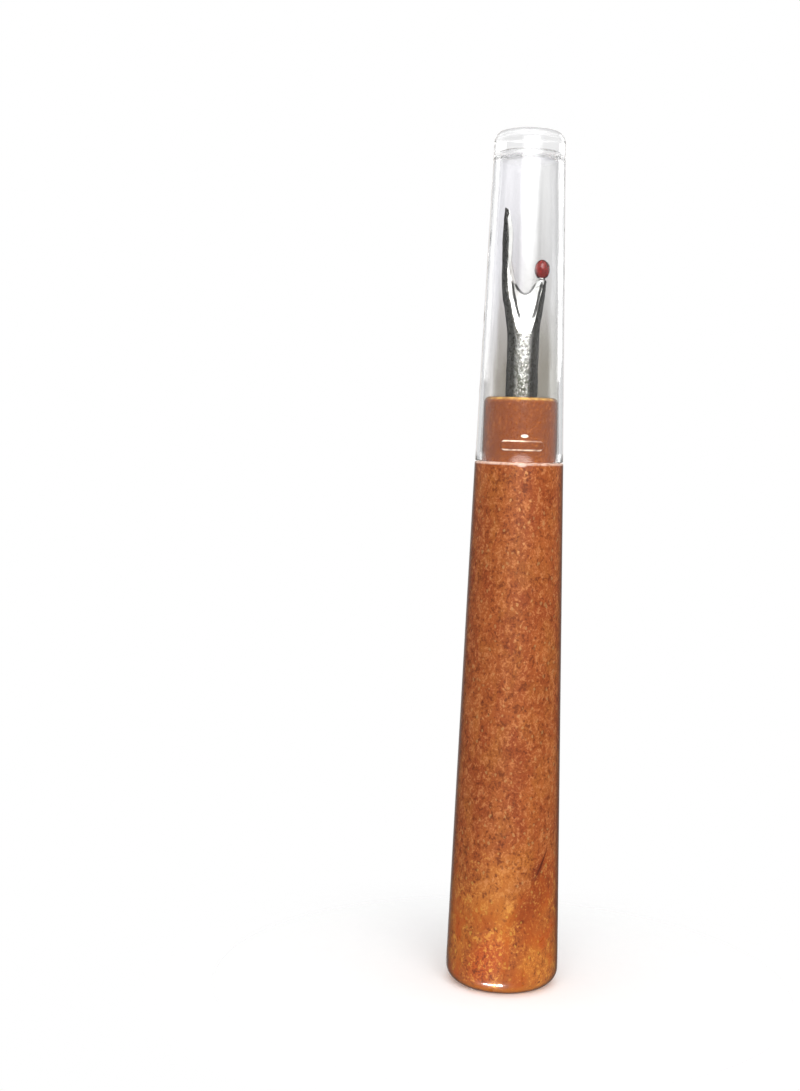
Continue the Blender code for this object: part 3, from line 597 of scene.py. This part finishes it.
def clear_plastic():
    """Clear moulded polystyrene, polished outside, with flow ripples and a frosted end of the cavity."""
    mat, bsdf, n = new_material("cap_clear", (0.97, 0.97, 0.965), 0.02)
    bsdf.inputs["Transmission Weight"].default_value = 1.0
    bsdf.inputs["IOR"].default_value = 1.53
    p = n.millimetres()
    x, y, z = n.split(p)
    r = n.math('SQRT', n.math('ADD', n.math('MULTIPLY', x, x), n.math('MULTIPLY', y, y)))
    inside_end = n.math('MULTIPLY', n.step(z, CAP_FLOOR_Z - CAP_FLOOR_EDGE - 0.2, CAP_FLOOR_Z - 1.0),
                        n.step(r, CAP_FLOOR_R + 0.2, CAP_FLOOR_R + 0.05))
    inside_end = n.math('MULTIPLY', inside_end, n.step(z, CAP_FLOOR_Z + 1.0, CAP_FLOOR_Z + 0.2))
    mist = n.noise(p, 1.6, 3.0, 0.6)
    scuff = n.noise(n.stretch(p, (6.0, 6.0, 0.8)), 1.0, 2.0, 0.6)
    n.put(bsdf.inputs["Roughness"], n.math('ADD', n.math('MULTIPLY', inside_end, n.step(mist, 0.3, 0.6, 0.22, 0.48)),
                                           n.math('MULTIPLY', n.step(scuff, 0.55, 0.8), 0.03)))
    face = n.facing()
    # painted shade: the clear plastic is tinted grey where it turns away from view
    tint = n.blend(n.step(face, 0.70, 0.99), (0.975, 0.975, 0.972), (0.86, 0.86, 0.88))
    # painted shadow: the far side of the hollow, looked at through the near side, is tinted grey like a shadowed sheet
    # behind it, darkest low down in the middle
    lp = n.nodes.new("ShaderNodeLightPath")
    geo = n.nodes.new("ShaderNodeNewGeometry")
    cavity_r = n.remap(z, CAP_MOUTH_Z, CAP_FLOOR_Z, CAP_MOUTH_BORE_R + 0.25, CAP_FLOOR_R + 0.25)
    far = n.math('MULTIPLY', n.math('LESS_THAN', r, cavity_r), n.math('SUBTRACT', 1.0, geo.outputs["Backfacing"]))
    far = n.math('MULTIPLY', far, n.math('GREATER_THAN', lp.outputs["Transmission Depth"], 1.5))
    far = n.math('MULTIPLY', far, n.math('LESS_THAN', n.math('ADD', lp.outputs["Glossy Depth"],
                                                             lp.outputs["Diffuse Depth"]), 0.5))
    cloud = n.noise(n.stretch(p, (0.5, 0.5, 0.12)), 1.0, 2.0, 0.5)
    lift = n.math('ADD', z, n.math('MULTIPLY', n.math('SUBTRACT', cloud, 0.5), 8.0))
    middle = n.blend(n.step(lift, 92.0, 116.0), srgb(148, 142, 130), srgb(226, 225, 226))
    middle = n.blend(n.step(lift, 112.0, 124.0), middle, srgb(247, 247, 248))
    edge = n.blend(n.step(lift, 88.0, 112.0), srgb(216, 214, 208), srgb(226, 226, 228))
    side = n.math('ADD', face, n.math('MULTIPLY', n.math('SUBTRACT', cloud, 0.5), 0.15))
    shadow_tint = n.blend(n.step(side, 0.22, 0.44), middle, edge)
    shadow_tint = n.vmath('MULTIPLY', shadow_tint, shadow_tint)
    tint = n.blend(far, tint, shadow_tint)
    n.put(bsdf.inputs["Base Color"], tint)
    flow = n.noise(n.stretch(p, (0.42, 0.42, 0.13)), 1.0, 2.0, 0.45)
    ripple = n.math('ADD', flow, n.math('MULTIPLY', n.noise(p, 2.0, 2.0, 0.5), 0.05))
    ripple = n.math('ADD', ripple, n.math('MULTIPLY', n.math('MULTIPLY', inside_end, mist), 0.60))
    crown = n.math('MULTIPLY', n.step(z, 123.5, 126.5), n.noise(p, 0.9, 3.0, 0.6))
    ripple = n.math('ADD', ripple, n.math('MULTIPLY', crown, 0.45))
    ripple = n.math('MULTIPLY', ripple, n.step(z, 89.5, 93.0, 0.15, 1.0))
    n.put(bsdf.inputs["Normal"], n.bump(ripple, 0.5, 0.00012))
    return mat


# ------------------------------------------------------------------ handle
def handle_profile():
    pts = [(0.0, 0.0)] + line((0.0, 0.0), (BUTT_FLAT_R, 0.0), 5)
    pts += arc(BUTT_FLAT_R, BUTT_EDGE, BUTT_EDGE, -90, 0, 20)[1:]
    top = SHOULDER_Z - SHOULDER_EDGE
    pts += line((BUTT_R, BUTT_EDGE), (SHOULDER_R, top), 46)
    pts += arc(SHOULDER_R - SHOULDER_EDGE, top, SHOULDER_EDGE, 0, 90, 7)[1:]
    pts += line(pts[-1], (NECK_BASE_R + 0.05, SHOULDER_Z), 3)
    pts += [(NECK_BASE_R + 0.015, SHOULDER_Z + 0.015), (NECK_BASE_R, SHOULDER_Z + 0.05)]

    def neck_r(z):
        return mix(NECK_BASE_R, NECK_TOP_R, (z - SHOULDER_Z) / (NECK_TOP_Z - NECK_EDGE - SHOULDER_Z))
    lo, hi = CATCH_Z - CATCH_H / 2 - 0.10, CATCH_Z + CATCH_H / 2 + 0.10
    zs = [mix(SHOULDER_Z + 0.05, lo, i / 6) for i in range(1, 7)]
    zs += [mix(lo, hi, i / 44) for i in range(1, 45)]
    zs += [mix(hi, NECK_TOP_Z - NECK_EDGE, i / 8) for i in range(1, 9)]
    pts += [(neck_r(zz), zz) for zz in zs]
    pts += arc(NECK_TOP_R - NECK_EDGE, NECK_TOP_Z - NECK_EDGE, NECK_EDGE, 0, 90, 10)[1:]
    pts += line(pts[-1], (BORE_R + 0.15, NECK_TOP_Z), 3)
    pts += [(BORE_R + 0.044, NECK_TOP_Z - 0.044), (BORE_R, NECK_TOP_Z - 0.15)]
    pts += line(pts[-1], (BORE_R, BORE_Z), 6)
    pts.append((0.0, BORE_Z))
    return pts


def catch_bar(x, y, z, r):
    """How far the raised catch bar stands out of the neck at this point."""
    if z < CATCH_Z - 1.2 or z > CATCH_Z + 1.2 or r < 5.0:
        return 0.0
    half = CATCH_W / 2 - CATCH_H / 2
    dx = max(abs(x) - half, 0.0)
    inside = CATCH_H / 2 - math.hypot(dx, z - CATCH_Z)
    t = min(max((inside + 0.01) / 0.13, 0.0), 1.0)
    return (CATCH_R - r) * math.sin(0.5 * math.pi * t)


def make_handle():
    verts, faces = turned(handle_profile(), 320, push=catch_bar)
    return mesh_object("handle_body", verts, faces, pearl_plastic(), 34)


# ------------------------------------------------------------------ clear cap
def cap_profile():
    pts = [(0.0, OVERALL)] + line((0.0, OVERALL), (CAP_END_R - CAP_EDGE, OVERALL), 6)
    pts += arc(CAP_END_R - CAP_EDGE, OVERALL - CAP_EDGE, CAP_EDGE, 90, 0, 18)[1:]
    pts += line(pts[-1], (CAP_MOUTH_R, CAP_MOUTH_Z + 0.14), 30)
    pts += arc(CAP_MOUTH_R - 0.14, CAP_MOUTH_Z + 0.14, 0.14, 0, -90, 6)[1:]
    pts += line(pts[-1], (CAP_MOUTH_BORE_R + 0.12, CAP_MOUTH_Z), 2)
    pts += arc(CAP_MOUTH_BORE_R + 0.12, CAP_MOUTH_Z + 0.12, 0.12, -90, -180, 5)[1:]
    pts += line(pts[-1], (CAP_FLOOR_R, CAP_FLOOR_Z - CAP_FLOOR_EDGE), 30)
    pts += arc(CAP_FLOOR_R - CAP_FLOOR_EDGE, CAP_FLOOR_Z - CAP_FLOOR_EDGE,
               CAP_FLOOR_EDGE, 0, 90, 18)[1:]
    pts += line(pts[-1], (0.6, CAP_FLOOR_Z), 3)
    pts.append((0.0, CAP_FLOOR_Z))
    return pts


def make_cap():
    verts, faces = turned(cap_profile(), 224)
    return mesh_object("cap_shell", verts, faces, clear_plastic(), 50)


# ------------------------------------------------------------------ safety ball
def ball_profile():
    rim_angle = math.degrees(math.acos(BALL_RIM_R / BALL_R))
    pts = arc(0.0, BALL_Z, BALL_R, 90, 0, 20, BALL_UP)
    pts[0] = (0.0, BALL_Z + BALL_UP)
    pts += arc(0.0, BALL_Z, BALL_R, 0, -rim_angle, 11, BALL_DOWN)[1:]
    rim_z = pts[-1][1]
    pts += [(BALL_RIM_R - 0.008, rim_z - 0.016), (BALL_RIM_R - 0.03, rim_z - 0.028),
            (SOCKET_R + 0.02, rim_z - 0.03), (SOCKET_R + 0.005, rim_z - 0.02), (SOCKET_R, rim_z),
            (SOCKET_R, SOCKET_STEP_Z), (SOCKET_PEG_R, SOCKET_STEP_Z),
            (SOCKET_PEG_R, SOCKET_TOP_Z), (0.0, SOCKET_TOP_Z)]
    return pts


def make_ball():
    verts, faces = turned(ball_profile(), 72, centre=(BALL_X, 0.0))
    return mesh_object("safety_bead", verts, faces, red_bead(), 40)


# ------------------------------------------------------------------ fork
def outer_edge(side, z):
    r = SHANK_R
    if z < TANG_Z + 0.4:
        r -= 0.35 * (1.0 - (z - TANG_Z) / 0.4)
    if side < 0:
        x = r + (LONG_OUT - SHANK_R) * smooth_step((z - SPREAD_Z) / 11.0)
        lean = max(0.0, (z - 115.0) / (LONG_TIP_Z - 115.0))
        return x - 0.24 * lean * lean
    x = r + (BALL_OUT - SHANK_R) * smooth_step((z - SPREAD_Z - 0.5) / 10.0)
    if z > SHORT_END_Z:
        x = mix(x, BALL_X + PEG_R, smooth_step((z - SHORT_END_Z) / 0.33))
    return x


def throat_half(zeta):
    t = max(0.0, 1.0 - zeta / THROAT_DEEP)
    return THROAT_HALF * math.sqrt(max(0.0, 1.0 - t ** 1.7))


def inner_edge(side, zeta):
    z = THROAT_Z + zeta
    if side < 0:
        x = throat_half(zeta) + 0.60 * smooth_step((zeta - 1.2) / 3.8)
        tip = max(0.0, (z - 115.0) / (LONG_TIP_Z - 115.0))
        return x + 0.66 * tip ** 1.1 + (LONG_OUT - 0.24 - 0.12 - 2.10 - 0.66) * max(0.0, (tip - 0.8) / 0.2) ** 2.5
    x = throat_half(zeta) + 0.36 * smooth_step((zeta - 0.8) / 1.1)
    if z > SHORT_END_Z:
        x = mix(x, BALL_X - PEG_R, smooth_step((z - SHORT_END_Z) / 0.33))
    return x


def blank_half(z):
    r = SHANK_R
    if z < TANG_Z + 0.4:
        r -= 0.35 * (1.0 - (z - TANG_Z) / 0.4)
    return r - 0.78 * smooth_step((z - 100.0) / 9.0)


PLANE_ZS = np.linspace(PLANE_Z - 3.0, LONG_TIP_Z + 3.0, 600)
PLANE_RAW = np.interp(PLANE_ZS, (PLANE_Z - 3.0, PLANE_Z, 101.0, 103.0, 105.0, 106.5, 108.0, 110.0, 112.0, 115.0,
                                 LONG_TIP_Z, LONG_TIP_Z + 3.0),
                      (SHANK_R + 0.66, SHANK_R, 2.06, 1.72, 1.42, 1.22, 1.00, 0.76, 0.60, 0.45, 0.28, 0.10))
PLANE_PAD = 20
PLANE_HALF = np.convolve(np.pad(PLANE_RAW, PLANE_PAD, mode="edge"),
                         np.hanning(2 * PLANE_PAD + 3)[1:-1] / np.hanning(2 * PLANE_PAD + 3)[1:-1].sum(), "valid")


def planed_half(z):
    """Half thickness of the two flats that run up the fork."""
    return float(np.interp(z, PLANE_ZS, PLANE_HALF))


def band_width(side, z):
    """How wide the unground, rounded outer side of a tine is."""
    if side > 0:
        return 0.74
    width = outer_edge(-1, z) - inner_edge(-1, max(z - THROAT_Z, THROAT_DEEP))
    return min(1.08, max(0.5 * width, width - 0.34) + 0.42 * smooth_step((z - LONG_TIP_Z + 1.7) / 1.0))


EDGE_POINTS = np.array([(side * inner_edge(side, zt), THROAT_Z + zt, zt)
                        for side, top in ((-1, LONG_TIP_Z), (1, SHORT_END_Z))
                        for zt in [(top - THROAT_Z) * (i / 240.0) ** 2 for i in range(241)]])


def ground_half(x, z):
    d2 = (EDGE_POINTS[:, 0] - x) ** 2 + (EDGE_POINTS[:, 1] - z) ** 2
    i = int(np.argmin(d2))
    width = 0.62 + 1.0 * math.exp(-EDGE_POINTS[i, 2] ** 2)
    return EDGE_HALF + math.sqrt(d2[i]) * (planed_half(EDGE_POINTS[i, 1]) - EDGE_HALF) / width


def round_half(side, x, z):
    a = outer_edge(side, z)
    h = blank_half(z) * math.sqrt(max(0.0, 1.0 - (abs(x) / a) ** 2))
    t = smooth_step((z - 104.5) / 3.5)
    if t > 0:
        w = band_width(side, z)
        s = min(max((a - abs(x)) / w, 0.0), 1.0)
        h = mix(h, (planed_half(z) + 0.004) * math.sqrt(1.0 - (1.0 - s) ** 2), t)
    return h


def hollow_edge(z):
    """Half width of the hollow ground face between the two rims."""
    return 0.85 * math.sqrt(max(0.0, z - HOLLOW_Z))


def hollow_depth(z):
    return HOLLOW_DEEP * smooth_step((z - HOLLOW_Z) / 0.8) * (1.0 - smooth_step((z - 108.0) / 1.5))


def fork_half(side, x, z):
    face = planed_half(z)
    w = hollow_edge(z)
    if w > 0:
        t = min(max((w - abs(x)) / 0.15 + 0.5, 0.0), 1.0)
        face -= hollow_depth(z) * smooth_step(t)
    h = soft_min(round_half(side, x, z), face, 0.03)
    return min(h, soft_min(face, ground_half(x, z), 0.02))


def fork_rows(side, low, web, throat, tine):
    rows = [(z, 0.0, z, False) for z in low]
    for i in range(1, web + 1):
        z = mix(SPREAD_Z, THROAT_Z, i / web)
        rows.append((z - 1.6 * smooth_step((z - 99.0) / 7.0), 0.0, z, i == web))
    for i in range(1, throat + 1):
        v = i / throat
        zeta = (SHORT_END_Z - THROAT_Z) * v * v
        rows.append((mix(104.4, SHORT_END_Z, v), side * inner_edge(side, zeta), THROAT_Z + zeta, True))
    if side < 0:
        for i in range(1, tine + 1):
            z = mix(SHORT_END_Z, LONG_TIP_Z, i / tine)
            rows.append((z, -inner_edge(-1, z - THROAT_Z), z, True))
    else:
        for i in range(1, 13):
            z = mix(SHORT_END_Z, SHORT_END_Z + 0.33, i / 12)
            rows.append((z, inner_edge(1, z - THROAT_Z), z, True))
        for z in (109.3, 109.7, PEG_TOP_Z):
            rows.append((z, inner_edge(1, z - THROAT_Z), z, True))
    return rows


def first_change(fn, lo, hi):
    for _ in range(26):
        mid = 0.5 * (lo + hi)
        if fn(mid) > 0:
            lo = mid
        else:
            hi = mid
    return 0.5 * (lo + hi)


N_ROUND, N_RIM, N_WALL, N_FLOOR, N_BEVEL = 14, 4, 5, 5, 7
N_ALL = N_ROUND + N_RIM + N_WALL + N_FLOOR + N_BEVEL


def row_points(side, row):
    x_out_z, x_in, z_in, has_edge = row
    z_out = x_out_z
    x_out = side * outer_edge(side, z_out)

    def at(f):
        return mix(x_out, x_in, f), mix(z_out, z_in, f)

    def above_plane(f):
        x, z = at(f)
        return planed_half(z) - round_half(side, x, z) - 2e-4

    def outside_hollow(f):
        x, z = at(f)
        return abs(x) - hollow_edge(z)

    def outside_bevel(f):
        x, z = at(f)
        return ground_half(x, z) - (planed_half(z) - (hollow_depth(z) if outside_hollow(f) < 0 else 0.0))

    gap = 0.006
    f1 = first_change(above_plane, 0.0, 1.0) if (z_in > PLANE_Z and above_plane(1.0) < 0) else 1.0 - 4 * gap
    f1 = min(f1, 1.0 - 4 * gap)
    f3 = 1.0 - gap
    if z_in > 103.0:
        if outside_bevel(f1) > 0:
            f3 = first_change(outside_bevel, f1, 1.0)
        else:
            f3 = f1 + 3 * gap
    f3 = min(max(f3, f1 + 3 * gap), 1.0 - gap)
    f2 = first_change(outside_hollow, f1, 1.0) if outside_hollow(f1) > 0 else f1 + gap
    if outside_hollow(1.0) > 0:
        f2 = f3 - 2 * gap
    span = abs(x_in - x_out) + 1e-6
    wall = min(0.21 / span, 0.4 * (f3 - f1))
    f2 = min(max(f2, f1 + gap + wall * 0.5), f3 - gap - wall * 0.5)
    a, b = f2 - wall * 0.5, f2 + wall * 0.5
    fr = [f1 * (1.0 - math.cos(0.5 * math.pi * j / N_ROUND)) for j in range(N_ROUND)]
    fr += [mix(f1, a, j / N_RIM) for j in range(N_RIM)]
    fr += [mix(a, b, j / N_WALL) for j in range(N_WALL)]
    fr += [mix(b, f3, j / N_FLOOR) for j in range(N_FLOOR)]
    fr += [mix(f3, 1.0, j / N_BEVEL) for j in range(N_BEVEL + 1)]
    if z_in < PLANE_Z + 0.6:
        even = [1.0 - math.cos(0.5 * math.pi * k / N_ALL) for k in range(N_ALL + 1)]
        t = smooth_step((z_in - PLANE_Z) / 0.6)
        fr = [mix(u, v, t) for u, v in zip(even, fr)]
    round_end = smooth_step((z_out - 106.6) / 0.8) if side > 0 else 0.0
    if round_end > 0:
        oval = [0.5 * (1.0 - math.cos(math.pi * k / N_ALL)) for k in range(N_ALL + 1)]
        fr = [mix(u, v, round_end) for u, v in zip(fr, oval)]

    pts = []
    for k, f in enumerate(fr):
        x, z = at(f)
        if k == 0:
            h = 0.0
        elif has_edge and k == N_ALL:
            h = EDGE_HALF
        else:
            h = max(fork_half(side, x, z), 0.012)
        if round_end > 0:
            full = mix(0.68, PEG_R, smooth_step((z - SHORT_END_Z) / 0.33))
            oval_h = full * math.sqrt(max(0.0, 1.0 - (2 * f - 1) ** 2))
            if k == N_ALL:
                oval_h = 0.03
            h = mix(h, oval_h, round_end) if k else 0.0
        ground = 1.0 if k >= N_ROUND else 0.0
        if z_in < PLANE_Z + 0.3:
            ground = 0.0
        line = 1.0 if has_edge and k == N_ALL else 0.0
        pts.append((x, z, h, ground, line))
    return pts


def make_fork():
    low = (TANG_Z, TANG_Z + 0.4, 80.0, NECK_TOP_Z, 92.0, 93.5, 95.0, 96.5, 97.3, SPREAD_Z)
    web, throat, tine = 72, 44, 64
    verts, faces, ground, line = [], [], [], []

    def vert(x, y, z, g, d):
        verts.append((x, y, z))
        ground.append(g)
        line.append(d)
        return len(verts) - 1

    centre, halves, n = {}, {}, N_ALL
    for side in (-1, 1):
        grid = []
        for j, row in enumerate(fork_rows(side, low, web, throat, tine)):
            front, back = [], []
            for k, (x, z, h, g, d) in enumerate(row_points(side, row)):
                shared = k == n and j < len(low) + web
                if shared and j in centre:
                    f, b = centre[j]
                elif k == 0:
                    f = b = vert(x, 0.0, z, g, d)
                else:
                    f, b = vert(x, -h, z, g, d), vert(x, h, z, g, d)
                    if shared:
                        centre[j] = (f, b)
                front.append(f)
                back.append(b)
            grid.append((front, back))
        halves[side] = grid

        def add(*loop):
            clean = []
            for v in loop:
                if v not in clean:
                    clean.append(v)
            if len(clean) > 2:
                faces.append(clean)

        for (f0, b0), (f1, b1) in zip(grid, grid[1:]):
            for k in range(n):
                add(f0[k], f0[k + 1], f1[k + 1], f1[k])
                add(b1[k], b1[k + 1], b0[k + 1], b0[k])
        first = len(low) + web - 1
        for j in range(first, len(grid) - 1):
            (f0, b0), (f1, b1) = grid[j], grid[j + 1]
            add(f0[n], b0[n], b1[n], f1[n])
        ftop, btop = grid[-1]
        for k in range(n):
            add(ftop[k], ftop[k + 1], btop[k + 1], btop[k])
    fl, bl = halves[-1][0]
    fr, br = halves[1][0]
    ring = fl + fr[::-1][1:] + br[1:] + bl[::-1][1:-1]
    faces.append(ring)
    fork = mesh_object("fork", verts, faces, polished_steel(), 22)
    for name, values in (("ground", ground), ("line", line)):
        layer = fork.data.attributes.new(name, 'FLOAT', 'POINT')
        layer.data.foreach_set("value", values)
    return fork


# ------------------------------------------------------------------ assemble
handle = make_handle()
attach(handle, "handle")
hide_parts("handle")

fork = make_fork()
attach(fork, "handle")
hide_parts("fork_blade")

ball = make_ball()
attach(ball, "handle")
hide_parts("safety_ball")

cap = make_cap()
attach(cap, "cap")
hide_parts("clear_cap")
cap.visible_shadow = False


# ------------------------------------------------------------------ floor
def make_floor():
    mat = bpy.data.materials.new("floor_pale")
    mat.use_nodes = True
    tree = mat.node_tree
    tree.nodes.clear()
    n = Nodes(tree)
    out = tree.nodes.new("ShaderNodeOutputMaterial")
    diffuse = tree.nodes.new("ShaderNodeBsdfDiffuse")
    clear = tree.nodes.new("ShaderNodeBsdfTransparent")
    fade = tree.nodes.new("ShaderNodeMixShader")
    p = n.millimetres()
    x, y, z = n.split(p)
    r = n.math('SQRT', n.math('ADD', n.math('MULTIPLY', x, x), n.math('MULTIPLY', y, y)))
    paper = n.noise(p, 0.35, 3.0, 0.6)
    n.put(diffuse.inputs["Color"], n.blend(paper, (0.93, 0.93, 0.93), (0.95, 0.95, 0.948)))
    n.put(fade.inputs[0], n.step(r, 14.0, 60.0))
    n.links.new(diffuse.outputs[0], fade.inputs[1])
    n.links.new(clear.outputs[0], fade.inputs[2])
    n.links.new(fade.outputs[0], out.inputs["Surface"])
    verts, faces = [(0.0, 0.0, -0.02)], []
    rings = [6, 12, 20, 30, 45, 62]
    seg = 96
    for r0 in rings:
        verts += [(r0 * math.cos(2 * math.pi * k / seg), r0 * math.sin(2 * math.pi * k / seg), -0.02)
                  for k in range(seg)]
    for k in range(seg):
        faces.append([0, 1 + k, 1 + (k + 1) % seg])
    for i in range(len(rings) - 1):
        a, b = 1 + i * seg, 1 + (i + 1) * seg
        for k in range(seg):
            faces.append([a + k, b + k, b + (k + 1) % seg, a + (k + 1) % seg])
    floor = mesh_object("floor", verts, faces, mat, 30)
    floor.visible_glossy = False
    floor.visible_shadow = False
    floor.visible_transmission = False
    return floor


floor = make_floor()


# ------------------------------------------------------------------ world
def make_world():
    world = bpy.data.worlds.new("studio")
    bpy.context.scene.world = world
    world.use_nodes = True
    tree = world.node_tree
    tree.nodes.clear()
    n = Nodes(tree)
    out = tree.nodes.new("ShaderNodeOutputWorld")
    bg = tree.nodes.new("ShaderNodeBackground")
    lp = tree.nodes.new("ShaderNodeLightPath")
    geo = tree.nodes.new("ShaderNodeTexCoord")
    dx, dy, dz = n.split(geo.outputs["Generated"])
    glossy = lp.outputs["Glossy Depth"]
    trans = lp.outputs["Transmission Depth"]
    diff = lp.outputs["Diffuse Depth"]

    # seen straight: white
    white = (1.0, 1.0, 1.0)
    # seen through the cap's hollow: nearly as white
    through_cavity = n.blend(n.step(dx, 0.050, 0.080), (1.10, 1.09, 1.13), (0.97, 0.97, 0.965))
    # seen through the solid wall only
    through_wall = (0.92, 0.92, 0.925)
    through = n.blend(n.step(trans, 2.4, 2.6), through_wall, through_cavity)
    # mirrored by the parts outside the cap, and by those under it: a dark room
    room = n.blend(n.step(dz, -0.6, 0.7), (0.10, 0.10, 0.095), (0.05, 0.05, 0.05))
    # two bright panels stand at its sides, mirrored in the ground bevels of the fork
    aside = n.math('ABSOLUTE', dx)
    level = n.math('MULTIPLY', n.step(aside, 0.80, 0.90), n.step(n.math('ABSOLUTE', dz), 0.42, 0.22))
    raised = n.math('MULTIPLY', n.step(aside, 0.22, 0.42), n.math('MULTIPLY', n.step(dz, 0.16, 0.32), n.step(dy, 0.15, -0.05)))
    panels = n.math('MAXIMUM', level, raised)
    inner_room = n.blend(panels, room, (1.15, 1.15, 1.15))
    pale_back = n.math('MULTIPLY', n.step(dy, 0.80, 0.98), 0.85)
    outer_room = n.blend(pale_back, room, (0.86, 0.80, 0.75))
    # light caught inside the clear wall
    caught = (0.86, 0.86, 0.87)

    is_g = n.math('GREATER_THAN', glossy, 0.5)
    is_d = n.math('GREATER_THAN', diff, 0.5)
    none = n.math('LESS_THAN', trans, 0.5)
    wall = n.math('MULTIPLY', n.math('GREATER_THAN', trans, 0.5), n.math('LESS_THAN', trans, 3.5))
    straight = n.blend(none, through, white)
    mirrored = n.blend(wall, inner_room, caught)
    mirrored = n.blend(none, mirrored, outer_room)
    colour = n.blend(is_g, straight, mirrored)
    colour = n.blend(is_d, colour, (0.62, 0.62, 0.62))
    n.put(bg.inputs["Color"], colour)
    bg.inputs["Strength"].default_value = 1.0
    tree.links.new(bg.outputs[0], out.inputs["Surface"])
    world.cycles.sampling_method = 'NONE'


make_world()


# ------------------------------------------------------------------ lights
def softbox(name, azimuth, elevation, distance, width, height, power, target=(0.0, 0.0, 95.0), colour=(1, 1, 1)):
    """Area light aimed at target. Azimuth 0 is in front of the object, positive to the right."""
    a, e = math.radians(azimuth), math.radians(elevation)
    away = Vector((math.sin(a) * math.cos(e), -math.cos(a) * math.cos(e), math.sin(e)))
    data = bpy.data.lights.new(name, 'AREA')
    data.shape = 'RECTANGLE'
    data.size = width * MM
    data.size_y = height * MM
    data.energy = power
    data.color = colour
    ob = bpy.data.objects.new(name, data)
    bpy.context.scene.collection.objects.link(ob)
    ob.location = Vector(target) * MM + away * distance * MM
    ob.rotation_mode = 'QUATERNION'
    ob.rotation_quaternion = away.to_track_quat('Z', 'Y')
    ob.visible_camera = False
    return ob


def radiance(width, height, value):
    """Watts that give an area light this brightness."""
    return value * math.pi * width * height * MM * MM


def only(light, *pieces):
    """The light falls on these pieces alone."""
    group = bpy.data.collections.new(light.name + "_on")
    for piece in pieces:
        group.objects.link(piece)
    light.light_linking.receiver_collection = group


def soften(data):
    """Let an area light fade towards its border."""
    data.use_nodes = True
    n = Nodes(data.node_tree)
    emission = next(node for node in data.node_tree.nodes if node.type == 'EMISSION')
    geo = n.nodes.new("ShaderNodeNewGeometry")
    u, v, w = n.split(geo.outputs["Parametric"])
    du = n.math('SUBTRACT', u, 0.5)
    dv = n.math('SUBTRACT', v, 0.5)
    r = n.math('MULTIPLY', n.math('SQRT', n.math('ADD', n.math('MULTIPLY', du, du), n.math('MULTIPLY', dv, dv))), 2.0)
    n.put(emission.inputs["Strength"], n.step(r, 1.0, 0.50))


key = softbox("key", 3, 22, 520, 760, 370, radiance(760, 370, 4.5))
key.data.shape = 'ELLIPSE'
soften(key.data)
only(key, handle, fork, cap, floor)
ball_fill = softbox("ball_fill", 6, 26, 420, 420, 260, radiance(420, 260, 3.2), target=(BALL_X, 0, BALL_Z))
ball_fill.visible_glossy = False
only(ball_fill, ball)
ball_glint = softbox("ball_glint", -8, 46, 300, 90, 90, radiance(90, 90, 80.0), target=(BALL_X, 0, BALL_Z))
ball_glint.visible_diffuse = False
only(ball_glint, ball)
over = softbox("over", 0, 78, 420, 420, 420, radiance(420, 420, 1.0), target=(0, 0, 60))
for nm, az in (("back_left", 235), ("back_right", 130)):
    back = softbox(nm, az, 22, 520, 260, 300, radiance(260, 300, 1.2), target=(0, 0, 65))
    only(back, handle, cap)
fork_front = softbox("fork_front", -7, 6, 400, 420, 200, radiance(420, 200, 3.2), target=(0, 0, 96))
only(fork_front, fork)
fork_over = softbox("fork_over", 0, 70, 300, 700, 380, radiance(700, 380, 2.4), target=(0, 0, 105))
only(fork_over, fork)
for nm, az in (("fork_left", -84), ("fork_right", 84)):
    strip = softbox(nm, az, 28, 400, 360, 440, radiance(360, 440, 2.3), target=(0, 0, 108))
    only(strip, fork)
# small lights that only show as glints on the lacquer-smooth skin
low = softbox("butt_glint", -22, -50, 110, 64, 16, radiance(64, 16, 70.0), target=(-2.5, -4.0, 1.0))
bar_top = softbox("bar_top", -14, 58, 260, 120, 20, radiance(120, 20, 50.0), target=(0.0, -5.9, 83.0))
for glint, pieces in ((low, (handle,)), (bar_top, (handle, cap))):
    glint.visible_diffuse = False
    only(glint, *pieces)


# ------------------------------------------------------------------ camera
def make_camera():
    data = bpy.data.cameras.new("camera")
    data.sensor_fit = 'AUTO'
    data.sensor_width = 24.0
    data.lens = 24.0 * 1700.0 / 1091.0
    ob = bpy.data.objects.new("camera", data)
    bpy.context.scene.collection.objects.link(ob)
    roll, pitch = math.radians(1.684), math.radians(4.491)
    ahead = Vector((0.0, math.cos(pitch), -math.sin(pitch)))
    level = Vector((1.0, 0.0, 0.0))
    upright = level.cross(ahead)
    right = level * math.cos(roll) + upright * math.sin(roll)
    up = upright * math.cos(roll) - level * math.sin(roll)
    ob.location = Vector((-17.70, -258.6, 87.57)) * MM
    rot = [[right[i], up[i], -ahead[i]] for i in range(3)]
    ob.rotation_mode = 'QUATERNION'
    ob.rotation_quaternion = Matrix(rot).to_quaternion()
    data.clip_start = 0.01
    data.clip_end = 10.0
    bpy.context.scene.camera = ob
    return ob


make_camera()

scene = bpy.context.scene
scene.view_settings.view_transform = 'Standard'
scene.view_settings.look = 'None'
scene.view_settings.exposure = 0.0
scene.view_settings.gamma = 1.0
scene.cycles.max_bounces = 32
scene.cycles.transmission_bounces = 24
scene.cycles.glossy_bounces = 24
scene.cycles.sample_clamp_indirect = 6.0
scene.cycles.blur_glossy = 0.2
